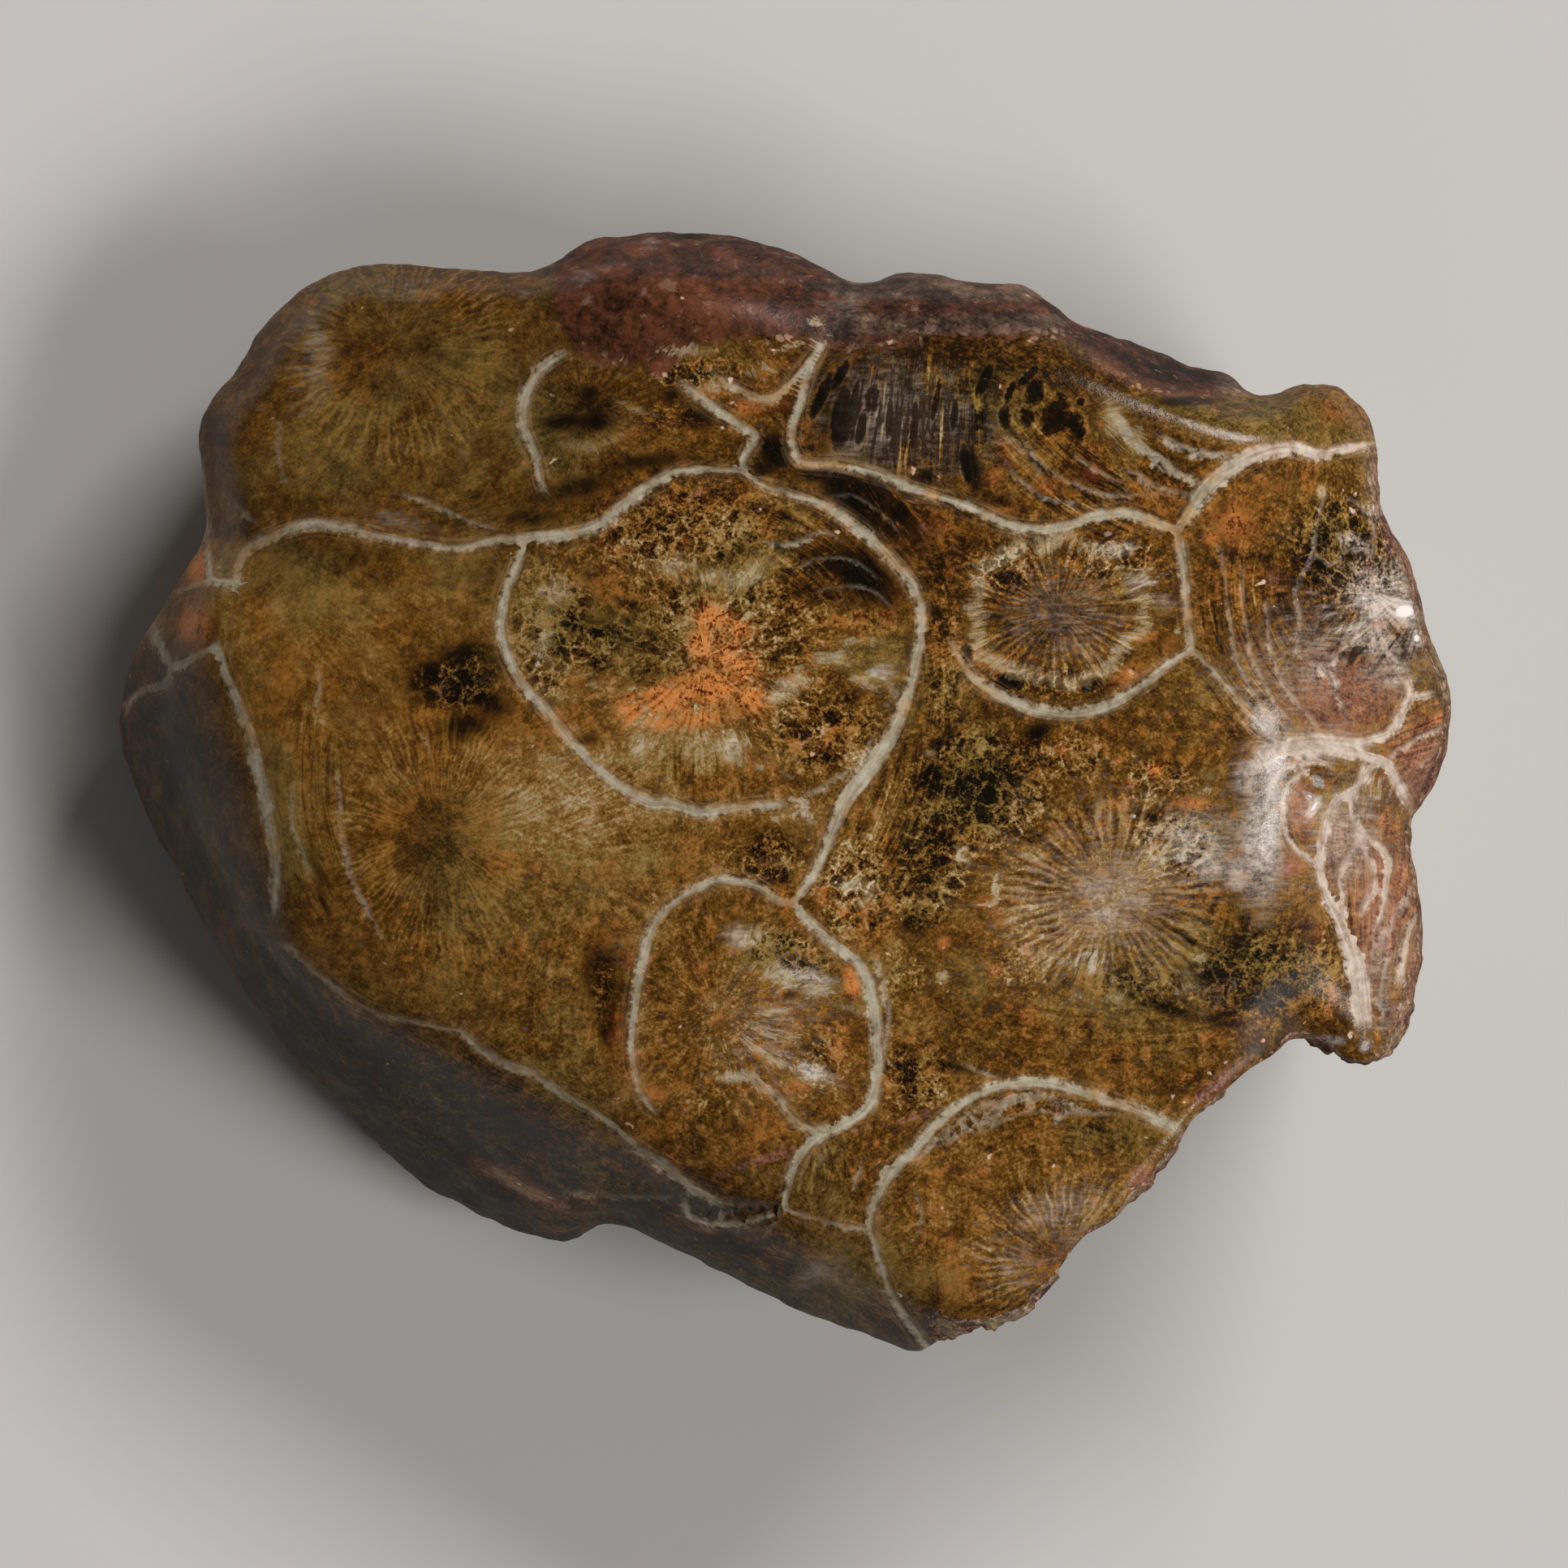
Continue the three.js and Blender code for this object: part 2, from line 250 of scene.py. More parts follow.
# The corallite walls
# Each coral animal sat in its own tube. On the lapped face the tubes' walls of pale calcite show as a net
# of cream lines, with thinner strands beside them. They run down through the stone, so they show on its
# sides and its back too. Places and half-widths are in millimetres, seen from above.
WALLS = [
    # points, half-widths along the wall, brightness
    ([(-24.0, 14.0), (-23.9, 12.0), (-23.7, 10.5), (-23.6, 9.2), (-23.4, 8.75), (-22.4, 8.65)],
     (0.12, 0.15, 0.15), 0.7),
    ([(-22.4, 8.7), (-22.3, 9.5), (-22.0, 10.0), (-20.9, 10.6), (-19.4, 11.05), (-18.0, 10.9),
      (-16.4, 10.55), (-15.2, 10.3), (-13.5, 10.05), (-12.0, 10.3), (-10.7, 10.4)],
     (0.15, 0.21, 0.16, 0.09, 0.15), 0.75),
    ([(-10.7, 10.4), (-9.5, 10.5), (-8.4, 10.7), (-7.4, 11.05), (-6.6, 11.75), (-5.6, 12.45), (-4.5, 13.1)],
     (0.16, 0.21, 0.18, 0.19, 0.15), 0.95),
    ([(-4.5, 13.1), (-3.5, 13.22), (-2.5, 13.2), (-1.7, 13.1), (-1.0, 12.65), (0.4, 12.2)],
     (0.12, 0.05, 0.07), 0.7),
    ([(0.4, 12.2), (1.4, 11.85), (2.6, 11.15), (3.7, 10.25), (4.7, 9.2), (5.3, 8.3), (5.6, 7.3), (5.5, 6.1),
      (5.25, 4.9), (4.85, 3.6), (4.3, 2.3)], (0.1, 0.18, 0.18, 0.15, 0.16, 0.25), 0.9),
    ([(4.3, 2.3), (3.6, 1.2), (2.7, 0.1), (2.2, -0.8), (1.7, -2.2), (1.2, -3.3), (0.4, -4.4)],
     (0.3, 0.33, 0.19, 0.15, 0.13), 0.92),
    ([(-10.6, 10.3), (-10.9, 9.4), (-11.35, 8.2), (-11.55, 7.0), (-11.3, 5.8), (-10.8, 4.7), (-9.7, 3.4),
      (-8.7, 2.25), (-7.7, 1.1), (-6.6, 0.25), (-5.5, -0.35), (-4.6, -0.35), (-3.4, -0.7), (-2.2, -0.55),
      (-0.8, -0.42), (0.3, -0.4)], (0.11, 0.15, 0.16, 0.16, 0.18, 0.18, 0.13), 0.95),
    ([(0.4, -4.4), (-0.3, -4.25), (-1.0, -3.7), (-1.8, -3.5), (-2.7, -3.5), (-3.8, -3.95), (-4.7, -4.55),
      (-5.35, -5.4), (-5.75, -6.6), (-6.05, -8.2), (-6.2, -9.8), (-6.15, -11.1), (-5.7, -12.4),
      (-5.0, -13.2)], (0.13, 0.13, 0.1, 0.15, 0.14, 0.12, 0.04), 0.85),
    ([(0.4, -4.4), (1.2, -5.4), (2.3, -6.3), (3.1, -7.0), (3.5, -7.9), (3.7, -9.3), (3.8, -10.7),
      (3.7, -12.0), (3.2, -12.95), (2.2, -13.5), (1.1, -14.15), (0.4, -15.1), (0.1, -16.2), (0.0, -16.9)],
     (0.13, 0.19, 0.21, 0.19, 0.21, 0.15, 0.07), 0.92),
    ([(-1.2, -11.8), (-0.4, -12.2), (0.3, -13.1), (1.1, -13.65), (2.0, -13.5)], (0.07, 0.09, 0.09), 0.8),
    ([(-8.6, 18.1), (-9.4, 17.8), (-10.2, 17.05), (-10.65, 16.0), (-10.6, 14.8), (-10.15, 13.8),
      (-9.9, 12.6), (-9.5, 12.1)], (0.09, 0.19, 0.19, 0.12, 0.04), 0.85),
    ([(-4.4, 17.0), (-3.5, 16.2), (-2.5, 15.5), (-1.6, 14.95), (-1.2, 14.6), (-1.6, 13.9), (-1.75, 13.4),
      (-1.4, 12.9)], (0.09, 0.15, 0.13, 0.1), 0.85),
    ([(-3.2, 17.3), (-2.2, 16.7), (-1.0, 16.15), (-0.2, 16.3), (0.7, 17.2), (1.4, 18.1)],
     (0.09, 0.15, 0.12), 0.8),
    ([(1.5, 18.3), (0.95, 17.2), (0.6, 15.9), (0.3, 14.8), (0.35, 14.1), (0.7, 13.55), (2.2, 13.45),
      (3.8, 13.05), (5.3, 12.4)], (0.18, 0.13, 0.1, 0.1, 0.15), 0.85),
    ([(5.3, 12.4), (6.8, 11.95), (8.2, 11.4), (9.0, 11.0), (10.2, 10.78), (11.4, 10.88), (12.6, 11.3),
      (13.8, 11.45), (15.0, 11.1), (16.0, 10.7)], (0.15, 0.13, 0.15, 0.18, 0.19, 0.16), 0.97),
    ([(16.0, 10.7), (16.4, 11.3), (17.2, 12.4), (18.2, 13.25), (19.4, 13.9), (20.6, 14.1), (21.6, 13.9),
      (22.8, 14.1), (24.4, 14.4)], (0.1, 0.3, 0.34, 0.26, 0.2, 0.07), 0.95),
    ([(16.0, 10.7), (16.1, 10.0), (16.3, 8.6), (16.4, 7.2), (16.6, 5.9)], (0.13, 0.15, 0.12), 0.7),
    ([(16.6, 5.9), (15.6, 5.3), (14.4, 4.35), (13.1, 3.6), (11.6, 3.3), (10.2, 3.45), (8.9, 4.0),
      (7.9, 4.6), (7.2, 5.4), (6.6, 6.6)], (0.07, 0.12, 0.19, 0.2, 0.15, 0.04), 0.9),
    ([(16.6, 5.9), (17.8, 4.6), (19.0, 3.2), (19.9, 2.4)], (0.07, 0.06), 0.55),
    ([(19.2, 1.75), (20.6, 2.05), (21.8, 2.2), (23.2, 2.05), (24.0, 2.25), (24.8, 2.55), (25.2, 3.25),
      (25.6, 4.0), (25.5, 4.6), (25.1, 5.0)], (0.1, 0.2, 0.22, 0.18, 0.17, 0.14, 0.1), 1.0),
    ([(25.6, 4.0), (26.2, 4.05), (26.9, 4.2)], (0.14, 0.08), 0.9),
    ([(19.3, 1.1), (20.3, 1.65), (21.8, 1.8), (23.2, 1.65), (24.2, 1.4), (24.8, 0.95), (25.2, 0.25),
      (25.6, -0.45), (25.9, -0.6)], (0.12, 0.2, 0.2, 0.26, 0.26, 0.2, 0.16), 1.0),
    ([(19.0, -0.2), (18.95, 0.9), (19.3, 1.45), (19.9, 1.9)], (0.06, 0.16, 0.14), 0.95),
    ([(19.75, -0.8), (19.7, 0.0), (19.95, 0.7), (20.6, 1.15), (21.7, 1.3), (22.6, 1.0)], (0.06, 0.1, 0.08),
     0.85),
    ([(21.9, -2.9), (21.3, -2.55), (20.7, -2.0), (20.4, -1.2), (20.33, -0.3), (20.55, 0.4), (21.2, 0.95)],
     (0.1, 0.09, 0.07), 1.0),
    ([(21.8, -2.8), (22.0, -1.9), (22.2, -0.9), (22.5, -0.3), (23.05, 0.05), (23.65, 0.55), (24.1, 1.2)],
     (0.2, 0.16, 0.16, 0.14), 1.0),
    ([(21.75, -2.8), (22.05, -3.9), (22.6, -4.95), (23.05, -6.1), (23.35, -7.25), (23.5, -8.5),
      (23.6, -9.8)], (0.16, 0.2, 0.32, 0.42, 0.42, 0.3), 0.95),
    ([(23.3, -5.1), (23.9, -4.2), (24.05, -3.35), (23.8, -2.35), (23.35, -1.2), (23.2, -0.2), (23.5, 0.4),
      (23.7, 1.2)], (0.14, 0.1, 0.09, 0.1, 0.14), 0.95),
    ([(22.8, -5.0), (22.75, -4.1), (22.7, -3.2), (23.2, -2.35), (23.45, -1.6)], (0.1, 0.08, 0.06), 0.9),
    ([(23.5, -1.4), (24.05, -1.9), (24.6, -2.5), (24.55, -3.65), (24.4, -4.8), (24.0, -5.8)],
     (0.09, 0.11, 0.08), 0.95),
    ([(26.1, -4.6), (25.5, -5.5), (25.3, -6.5), (25.1, -7.4), (25.3, -8.0)], (0.08, 0.12, 0.1), 0.9),
    ([(16.4, -13.9), (15.4, -13.3), (13.8, -12.65), (12.2, -12.1), (10.4, -11.7), (8.9, -11.85),
      (7.5, -12.4), (6.2, -13.45), (5.1, -14.7), (4.2, -15.4)], (0.22, 0.19, 0.18, 0.15, 0.15, 0.21), 0.97),
    ([(4.2, -15.4), (3.85, -16.3), (3.5, -17.2), (3.6, -18.0), (4.0, -19.3), (4.3, -20.3), (5.1, -21.6),
      (6.1, -23.1)], (0.22, 0.1, 0.11, 0.15, 0.1), 0.8),
    ([(0.0, -16.9), (1.2, -17.25), (2.2, -17.55), (3.4, -17.75)], (0.07, 0.06), 0.75),
    ([(-20.9, -5.9), (-19.8, -6.6), (-18.5, -7.8), (-17.4, -8.6), (-16.4, -9.0), (-14.8, -9.4),
      (-13.2, -9.7)], (0.09, 0.1, 0.06, 0.06), 0.45),
    ([(-13.2, -9.7), (-12.2, -10.5), (-11.3, -11.05), (-10.3, -11.35), (-9.0, -12.3), (-7.5, -13.2),
      (-5.8, -14.55), (-4.6, -15.4), (-3.7, -16.15), (-2.2, -16.9)], (0.07, 0.16, 0.1, 0.1, 0.19, 0.12),
     0.6),
    ([(-4.1, -16.3), (-3.9, -17.2), (-3.0, -17.55), (-1.7, -17.5), (-0.6, -17.2), (0.0, -16.9)],
     (0.12, 0.06, 0.06), 0.8),
    ([(-23.3, 6.5), (-22.9, 5.1), (-22.3, 3.5), (-21.7, 1.9), (-21.4, 0.5), (-21.0, -1.2), (-20.8, -2.8),
      (-20.8, -4.4), (-20.9, -5.2)], (0.12, 0.19, 0.22, 0.21, 0.12), 0.9),
    ([(-26.3, 7.3), (-25.7, 6.2), (-25.1, 5.3), (-24.0, 5.7), (-23.2, 6.1)], (0.3, 0.19, 0.16, 0.13), 0.8),
    ([(-25.1, 5.2), (-25.3, 4.6), (-26.2, 4.3), (-26.9, 3.9), (-27.3, 3.0)], (0.15, 0.13, 0.07), 0.6),
    ([(-25.4, 8.1), (-24.6, 8.45), (-23.6, 8.7)], (0.04, 0.06), 0.5),
]
STRANDS = [
    ([(-22.9, 12.7), (-22.6, 12.0), (-22.0, 11.35), (-21.4, 11.1)], (0.06, 0.14, 0.05), 0.5),
    ([(-20.6, 15.5), (-20.7, 14.3), (-20.6, 13.2), (-20.2, 12.4)], (0.1,), 0.3),
    ([(-16.1, 12.4), (-15.0, 12.1), (-13.9, 11.6), (-12.8, 11.1), (-11.4, 10.8)], (0.05, 0.07, 0.05), 0.45),
    ([(-20.1, 0.6), (-20.05, -1.0), (-19.7, -2.4), (-19.1, -3.6)], (0.06, 0.09, 0.05), 0.5),
    ([(-18.2, 1.2), (-18.1, -1.0), (-17.8, -2.9), (-17.2, -4.4), (-16.2, -6.2)], (0.05, 0.13, 0.06), 0.45),
    ([(-19.0, 5.5), (-19.0, 4.2), (-19.2, 3.0)], (0.09,), 0.35),
    ([(-14.8, 2.8), (-14.6, 2.0), (-14.3, 1.3)], (0.07, 0.03), 0.7),
    ([(-1.2, 10.3), (0.0, 10.15), (0.9, 10.35), (1.6, 10.7), (2.6, 10.2)], (0.04, 0.07, 0.03), 0.7),
    ([(0.2, 9.0), (1.4, 9.6), (2.8, 9.5), (4.0, 8.7)], (0.02,), 0.35),
    ([(1.0, 8.2), (2.4, 8.5), (3.6, 8.3), (4.7, 7.3)], (0.02,), 0.35),
    ([(1.8, 12.2), (3.0, 12.1), (4.2, 11.2), (5.0, 10.2)], (0.02,), 0.35),
    ([(9.6, 14.5), (10.6, 13.4), (11.8, 12.6), (13.4, 12.2), (15.0, 12.2)], (0.05,), 0.6),
    ([(8.8, 13.8), (9.6, 12.8), (10.8, 12.0), (12.4, 11.8)], (0.06,), 0.55),
    ([(11.6, 14.0), (12.6, 13.2), (14.0, 12.6)], (0.05,), 0.5),
    ([(23.6, 7.6), (23.4, 6.9), (22.8, 6.2)], (0.07,), 0.6),
    ([(24.8, 7.2), (24.6, 6.5), (24.0, 6.0)], (0.06,), 0.6),
    ([(4.3, 4.7), (4.45, 4.1), (4.4, 3.4)], (0.16,), 0.7),
    ([(0.6, -0.1), (1.5, 0.25), (2.4, 0.8), (3.3, 1.5)], (0.1, 0.06), 0.7),
    # The short bright strands on this line and the next two are white scratches and painted glints off pits.
    ([(-0.3, 1.2), (0.1, 0.8), (0.55, 0.4)], (0.03,), 1.0),
    ([(3.1, 1.5), (3.5, 2.1), (3.85, 2.5)], (0.04,), 1.0),
    ([(0.35, -2.65), (0.6, -2.35)], (0.07,), 1.0),
    ([(3.4, -6.1), (3.85, -7.0), (4.1, -8.0), (4.2, -9.2), (4.1, -10.6), (3.9, -11.6)], (0.1, 0.12, 0.05),
     0.75),
    ([(2.0, -8.5), (2.7, -8.7), (3.4, -9.0)], (0.06,), 0.8),
    ([(0.3, -7.95), (1.2, -8.05), (2.1, -8.0)], (0.08,), 0.7),
    ([(-1.7, -9.3), (-1.0, -9.45), (-0.4, -9.7)], (0.06,), 0.8),
    ([(-1.9, -9.9), (-1.2, -10.25), (-0.4, -10.75)], (0.08,), 0.9),
    ([(-2.2, -10.2), (-1.9, -10.6), (-1.4, -10.95)], (0.06,), 0.8),
    ([(-1.0, -8.9), (-0.3, -8.85), (0.3, -8.95)], (0.07,), 0.8),
    ([(-2.8, -11.7), (-2.2, -11.5), (-1.4, -11.6), (-0.8, -12.1)], (0.1, 0.14, 0.08), 0.75),
    ([(13.3, 15.8), (13.8, 15.0), (14.5, 14.2), (15.3, 13.6), (16.6, 12.7)], (0.2, 0.22, 0.16, 0.12), 0.85),
    ([(15.0, 14.75), (16.1, 14.15), (17.3, 13.8), (18.6, 13.85)], (0.08, 0.17, 0.14), 0.85),
    ([(15.0, 13.4), (16.0, 13.0), (17.1, 12.75)], (0.1, 0.15), 0.8),
    ([(14.6, 12.75), (16.0, 12.25), (17.0, 12.15)], (0.07, 0.13), 0.75),
    ([(13.4, 13.4), (14.6, 12.9), (15.6, 12.0)], (0.06,), 0.6),
    ([(17.6, 10.4), (17.9, 9.2), (18.1, 7.6), (18.3, 6.0), (18.8, 4.6), (19.8, 3.2), (20.6, 2.5)],
     (0.05, 0.07), 0.5),
    ([(18.6, 9.6), (18.7, 7.8), (18.9, 6.2), (19.5, 4.6), (20.4, 3.2), (21.2, 2.6)], (0.04, 0.07), 0.5),
    ([(19.6, 8.2), (19.7, 6.6), (20.1, 5.0), (20.9, 3.7), (21.9, 2.6)], (0.05, 0.07), 0.55),
    ([(17.0, 5.3), (18.4, 4.1), (19.4, 3.1), (19.9, 2.5)], (0.06,), 0.6),
    ([(22.2, 12.8), (21.8, 11.3), (21.5, 9.7), (20.9, 8.5), (21.0, 7.0), (20.9, 5.8), (21.8, 5.2)],
     (0.05, 0.07), 0.45),
    ([(22.7, 12.2), (23.6, 11.7), (24.1, 10.9), (24.0, 9.8)], (0.05,), 0.5),
    ([(21.6, 9.8), (22.4, 9.4), (23.0, 10.0), (23.9, 9.9)], (0.05,), 0.45),
    ([(21.8, 5.15), (22.45, 4.7), (22.55, 3.95), (22.9, 3.1)], (0.1, 0.09), 0.9),
    ([(21.8, 5.2), (22.5, 5.4), (22.9, 6.1), (23.9, 6.1), (24.9, 5.6), (25.5, 4.7)], (0.1, 0.08), 0.8),
    ([(24.2, 1.2), (25.6, 2.1), (26.8, 2.7), (27.4, 3.1)], (0.09, 0.06), 0.9),
    ([(25.5, 0.5), (26.2, 1.3), (27.1, 1.9)], (0.05,), 0.7),
    ([(25.8, -3.5), (25.1, -4.65), (24.2, -6.1), (23.9, -7.0)], (0.06,), 0.8),
    ([(25.5, -4.2), (24.8, -5.4), (24.2, -6.7)], (0.05,), 0.7),
    ([(24.9, -6.2), (24.5, -7.2), (24.2, -8.4)], (0.05,), 0.7),
    ([(24.8, -8.0), (24.4, -8.8), (24.3, -9.8)], (0.06,), 0.7),
    ([(10.4, -12.2), (8.9, -12.4), (7.4, -13.1), (6.2, -14.1), (5.3, -15.1)], (0.09, 0.1, 0.08), 0.55),
    ([(13.0, -12.9), (11.6, -13.0), (10.2, -12.9), (9.0, -13.2), (7.8, -13.9)], (0.06,), 0.55),
    ([(12.0, -12.75), (11.0, -12.4), (10.0, -12.3), (9.0, -12.7), (8.2, -13.25), (7.2, -13.8),
      (6.4, -14.4)], (0.06, 0.1, 0.07), 0.7),
    ([(13.9, -12.95), (12.7, -12.95), (11.7, -12.8), (11.1, -13.3)], (0.07,), 0.75),
    ([(10.2, -12.3), (9.7, -12.9), (9.2, -13.2), (8.7, -13.0)], (0.05,), 0.7),
    ([(9.0, -11.75), (8.2, -11.35), (7.2, -11.0)], (0.06,), 0.7),
    ([(2.0, -14.3), (1.5, -14.8), (1.4, -15.5)], (0.08,), 0.6),
    ([(3.4, -14.7), (3.0, -15.5), (2.7, -16.4)], (0.05,), 0.6),
    ([(-0.2, -17.3), (-0.6, -17.8), (-1.0, -18.3)], (0.07,), 0.6),
    ([(-1.6, -17.5), (-1.9, -17.9), (-2.1, -18.3)], (0.06,), 0.6),
    ([(-9.4, -16.3), (-7.5, -16.45), (-6.0, -16.5), (-4.2, -16.45)], (0.08,), 0.35),
    ([(5.2, -15.9), (5.6, -17.0), (5.5, -18.2)], (0.06,), 0.45),
    ([(4.5, -17.0), (4.2, -17.9)], (0.06,), 0.6),
]
# Millimetres, apart from the steps
PATH_STEP = 0.06
LOOSE_END, END_FADE = 0.35, 0.9  # an end further than the first from any other line fades over the second
TORN_STEPS = 15  # neighbours that are nearest to places this many steps apart may differ in sign
TORN_FROM, TORN_PUSH = 0.22, 1.0  # if they are further off than the first, they are pushed off by the second


def traced(points, widths):
    """Places every PATH_STEP along a smooth curve through the points, its way there and its half-width."""
    p = np.array([points[0], *points, points[-1]], float)
    p[0], p[-1] = 2 * p[1] - p[2], 2 * p[-2] - p[-3]
    run = []
    for a, b, c, d in zip(p, p[1:], p[2:], p[3:]):
        t = np.linspace(0, 1, max(3, int(np.linalg.norm(c - b) / PATH_STEP)), endpoint=False)[:, None]
        run.append(0.5 * (2 * b + (c - a) * t + (2 * a - 5 * b + 4 * c - d) * t**2
                          + (3 * b - a - 3 * c + d) * t**3))
    run = np.concatenate(run + [p[-2:-1]])
    way = np.gradient(run, axis=0)
    way /= np.linalg.norm(way, axis=1)[:, None] + 1e-9
    share = np.linspace(0, 1, len(run))
    return run, way, np.interp(share, np.linspace(0, 1, len(widths)), widths)


edge_ends = np.zeros(len(block.edges) * 2, int)
block.edges.foreach_get("vertices", edge_ends)
edge_ends = edge_ends.reshape(-1, 2)


def nearest_line(lines):
    """For each point of the stone: signed distance to the nearest line, plain distance, that line's
    half-width there and its brightness."""
    runs, ways, halves = zip(*[traced(points, widths) for points, widths, _ in lines])
    glows, tips = [], []
    for k, run in enumerate(runs):
        others = np.concatenate([other for j, other in enumerate(runs) if j != k])
        glow = np.full(len(run), lines[k][2])
        steps = np.arange(len(run))
        for end, away in ((0, steps), (-1, steps[::-1])):
            if np.hypot(*(others - run[end]).T).min() > LOOSE_END:
                glow *= ease(away * PATH_STEP, 0.0, END_FADE)
        glows.append(glow)
        tips.append(np.isin(steps, (0, len(run) - 1)))
    runs, ways, halves, glows, tips = map(np.concatenate, (runs, ways, halves, glows, tips))
    tree = kdtree.KDTree(len(runs))
    for i, (x, y) in enumerate(runs):
        tree.insert((x, y, 0.0), i)
    tree.balance()
    nearest = np.array([tree.find((x, y, 0.0))[1] for x, y in at[:, :2]])
    off = at[:, :2] - runs[nearest]
    way = ways[nearest]
    across = way[:, 0] * off[:, 1] - way[:, 1] * off[:, 0]
    along = np.abs((way * off).sum(1))
    gap = np.hypot(off[:, 0], off[:, 1])
    beyond = tips[nearest] & (along > 0.6 * PATH_STEP)
    distance = np.where(beyond | (along > PATH_STEP), gap, np.abs(across))
    distance = np.where((across < 0) & ~beyond, -distance, distance)
    # Where neighbouring points are nearest to different stretches, the sign may change with no line between.
    jumps = np.abs(nearest[edge_ends[:, 0]] - nearest[edge_ends[:, 1]]) > TORN_STEPS
    torn = np.zeros(len(at), bool)
    torn[edge_ends[jumps].ravel()] = True
    gap = gap + TORN_PUSH * (torn & (gap > TORN_FROM))
    return distance, gap, halves[nearest], glows[nearest], runs


wall_off, wall_gap, wall_half, wall_glow, wall_runs = nearest_line(WALLS)
strand_off, strand_gap, strand_half, strand_glow, _ = nearest_line(STRANDS)
record("wall", wall_off, wall_half, wall_glow)
record("strand", strand_off, strand_half, strand_glow)


# The calices
# The cup of each corallite: thin upright plates, the septa, stand round its middle like spokes. In some cups
# they are bleached pale with dark gaps between, and in others they are barely lighter than the rest.
CALICES = [
    # where, middle, width over height, spokes from, spokes to, pale spokes, dark gaps, spokes in all,
    # shade of the hub, shade of the cell, pale ring's radius, its strength
    ("top left", (-15.9, 18.4), 1.0, 2.2, 5.0, 0.42, 0.08, 72, -0.04, 0.0, 1.0, 0.0),
    ("left", (-14.1, -1.6), 0.8, 1.6, 5.2, 0.38, 0.16, 88, -0.15, 0.03, 1.0, 0.0),
    ("middle", (-3.2, 5.5), 1.0, 0.4, 4.6, 0.2, 0.22, 56, 0.05, 0.03, 1.0, 0.0),
    ("small back", (-8.0, 15.6), 1.15, 0.5, 2.4, 0.1, 0.15, 34, -0.12, -0.03, 1.0, 0.0),
    ("net", (12.4, 15.6), 1.0, 1.0, 2.0, 0.0, 0.2, 24, 0.0, -0.02, 1.0, 0.0),
    ("ringed", (11.1, 7.45), 1.2, 0.7, 3.1, 0.55, 0.24, 46, -0.06, 0.0, 2.85, 0.95),
    ("right", (13.3, -4.1), 1.12, 1.9, 4.1, 0.6, 0.45, 52, 0.07, 0.0, 1.0, 0.0),
    ("lower", (-2.8, -8.9), 1.0, 0.8, 3.6, 0.2, 0.15, 44, 0.08, 0.06, 1.0, 0.0),
    ("bottom", (11.3, -19.1), 1.0, 1.3, 3.8, 0.62, 0.16, 54, 0.02, 0.03, 1.0, 0.0),
    ("left end", (-24.6, 0.6), 0.6, 1.0, 2.0, 0.0, 0.0, 30, -0.06, 0.06, 1.0, 0.0),
    ("upper right", (23.8, 8.4), 1.0, 0.6, 2.6, 0.4, 0.35, 34, -0.04, -0.02, 1.0, 0.0),
    ("lower right", (23.6, -2.0), 1.0, 1.0, 2.0, 0.0, 0.0, 24, 0.0, 0.0, 1.0, 0.0),
    ("bottom left", (1.4, -19.4), 1.0, 1.0, 2.0, 0.0, 0.0, 24, 0.0, 0.0, 1.0, 0.0),
    ("lower left", (-16.0, -13.4), 1.0, 1.0, 2.0, 0.0, 0.0, 24, 0.0, 0.03, 1.0, 0.0),
    ("corner", (21.5, 15.6), 1.0, 1.0, 2.0, 0.0, 0.0, 24, 0.0, 0.04, 1.0, 0.0),
    ("back slope", (-3.0, 20.5), 1.0, 1.0, 2.0, 0.0, 0.0, 24, 0.0, 0.0, 1.0, 0.0),
]
GRID_STEP, GRID_REACH = 0.2, (29.0, 25.0)  # millimetres
FILL_ROUNDS, OVER_WALLS_ROUNDS = 260, 4
RING_GAP = 25.0  # the pale ring fades about this bearing, in degrees
RING_HALF = 0.45  # millimetres


def nearest_calice():
    """Which calice each point belongs to, by the shortest way that crosses no wall."""
    lo = -np.array(GRID_REACH)
    shape = tuple(((np.array(GRID_REACH) - lo) / GRID_STEP).astype(int) + 1)
    blocked = np.zeros(shape, bool)
    cells = np.round((wall_runs - lo) / GRID_STEP).astype(int)
    blocked[cells[:, 0], cells[:, 1]] = True
    cost = np.full(shape, np.inf)
    owner = np.zeros(shape, int)
    for k, (_, middle, *_) in enumerate(CALICES):
        i, j = np.round((np.array(middle) - lo) / GRID_STEP).astype(int)
        cost[i, j], owner[i, j] = 0.0, k
    ways = [(1, 0), (-1, 0), (0, 1), (0, -1), (1, 1), (1, -1), (-1, 1), (-1, -1)]
    for walls_count, rounds in ((True, FILL_ROUNDS), (False, OVER_WALLS_ROUNDS)):
        for _ in range(rounds):
            for di, dj in ways:
                moved = np.roll(cost, (di, dj), (0, 1)) + math.hypot(di, dj)
                better = moved < cost - 1e-6
                if walls_count:
                    better &= ~blocked
                cost[better] = moved[better]
                owner[better] = np.roll(owner, (di, dj), (0, 1))[better]
    cells = np.clip(np.round((at[:, :2] - lo) / GRID_STEP).astype(int), 0, np.array(shape) - 1)
    return owner[cells[:, 0], cells[:, 1]]


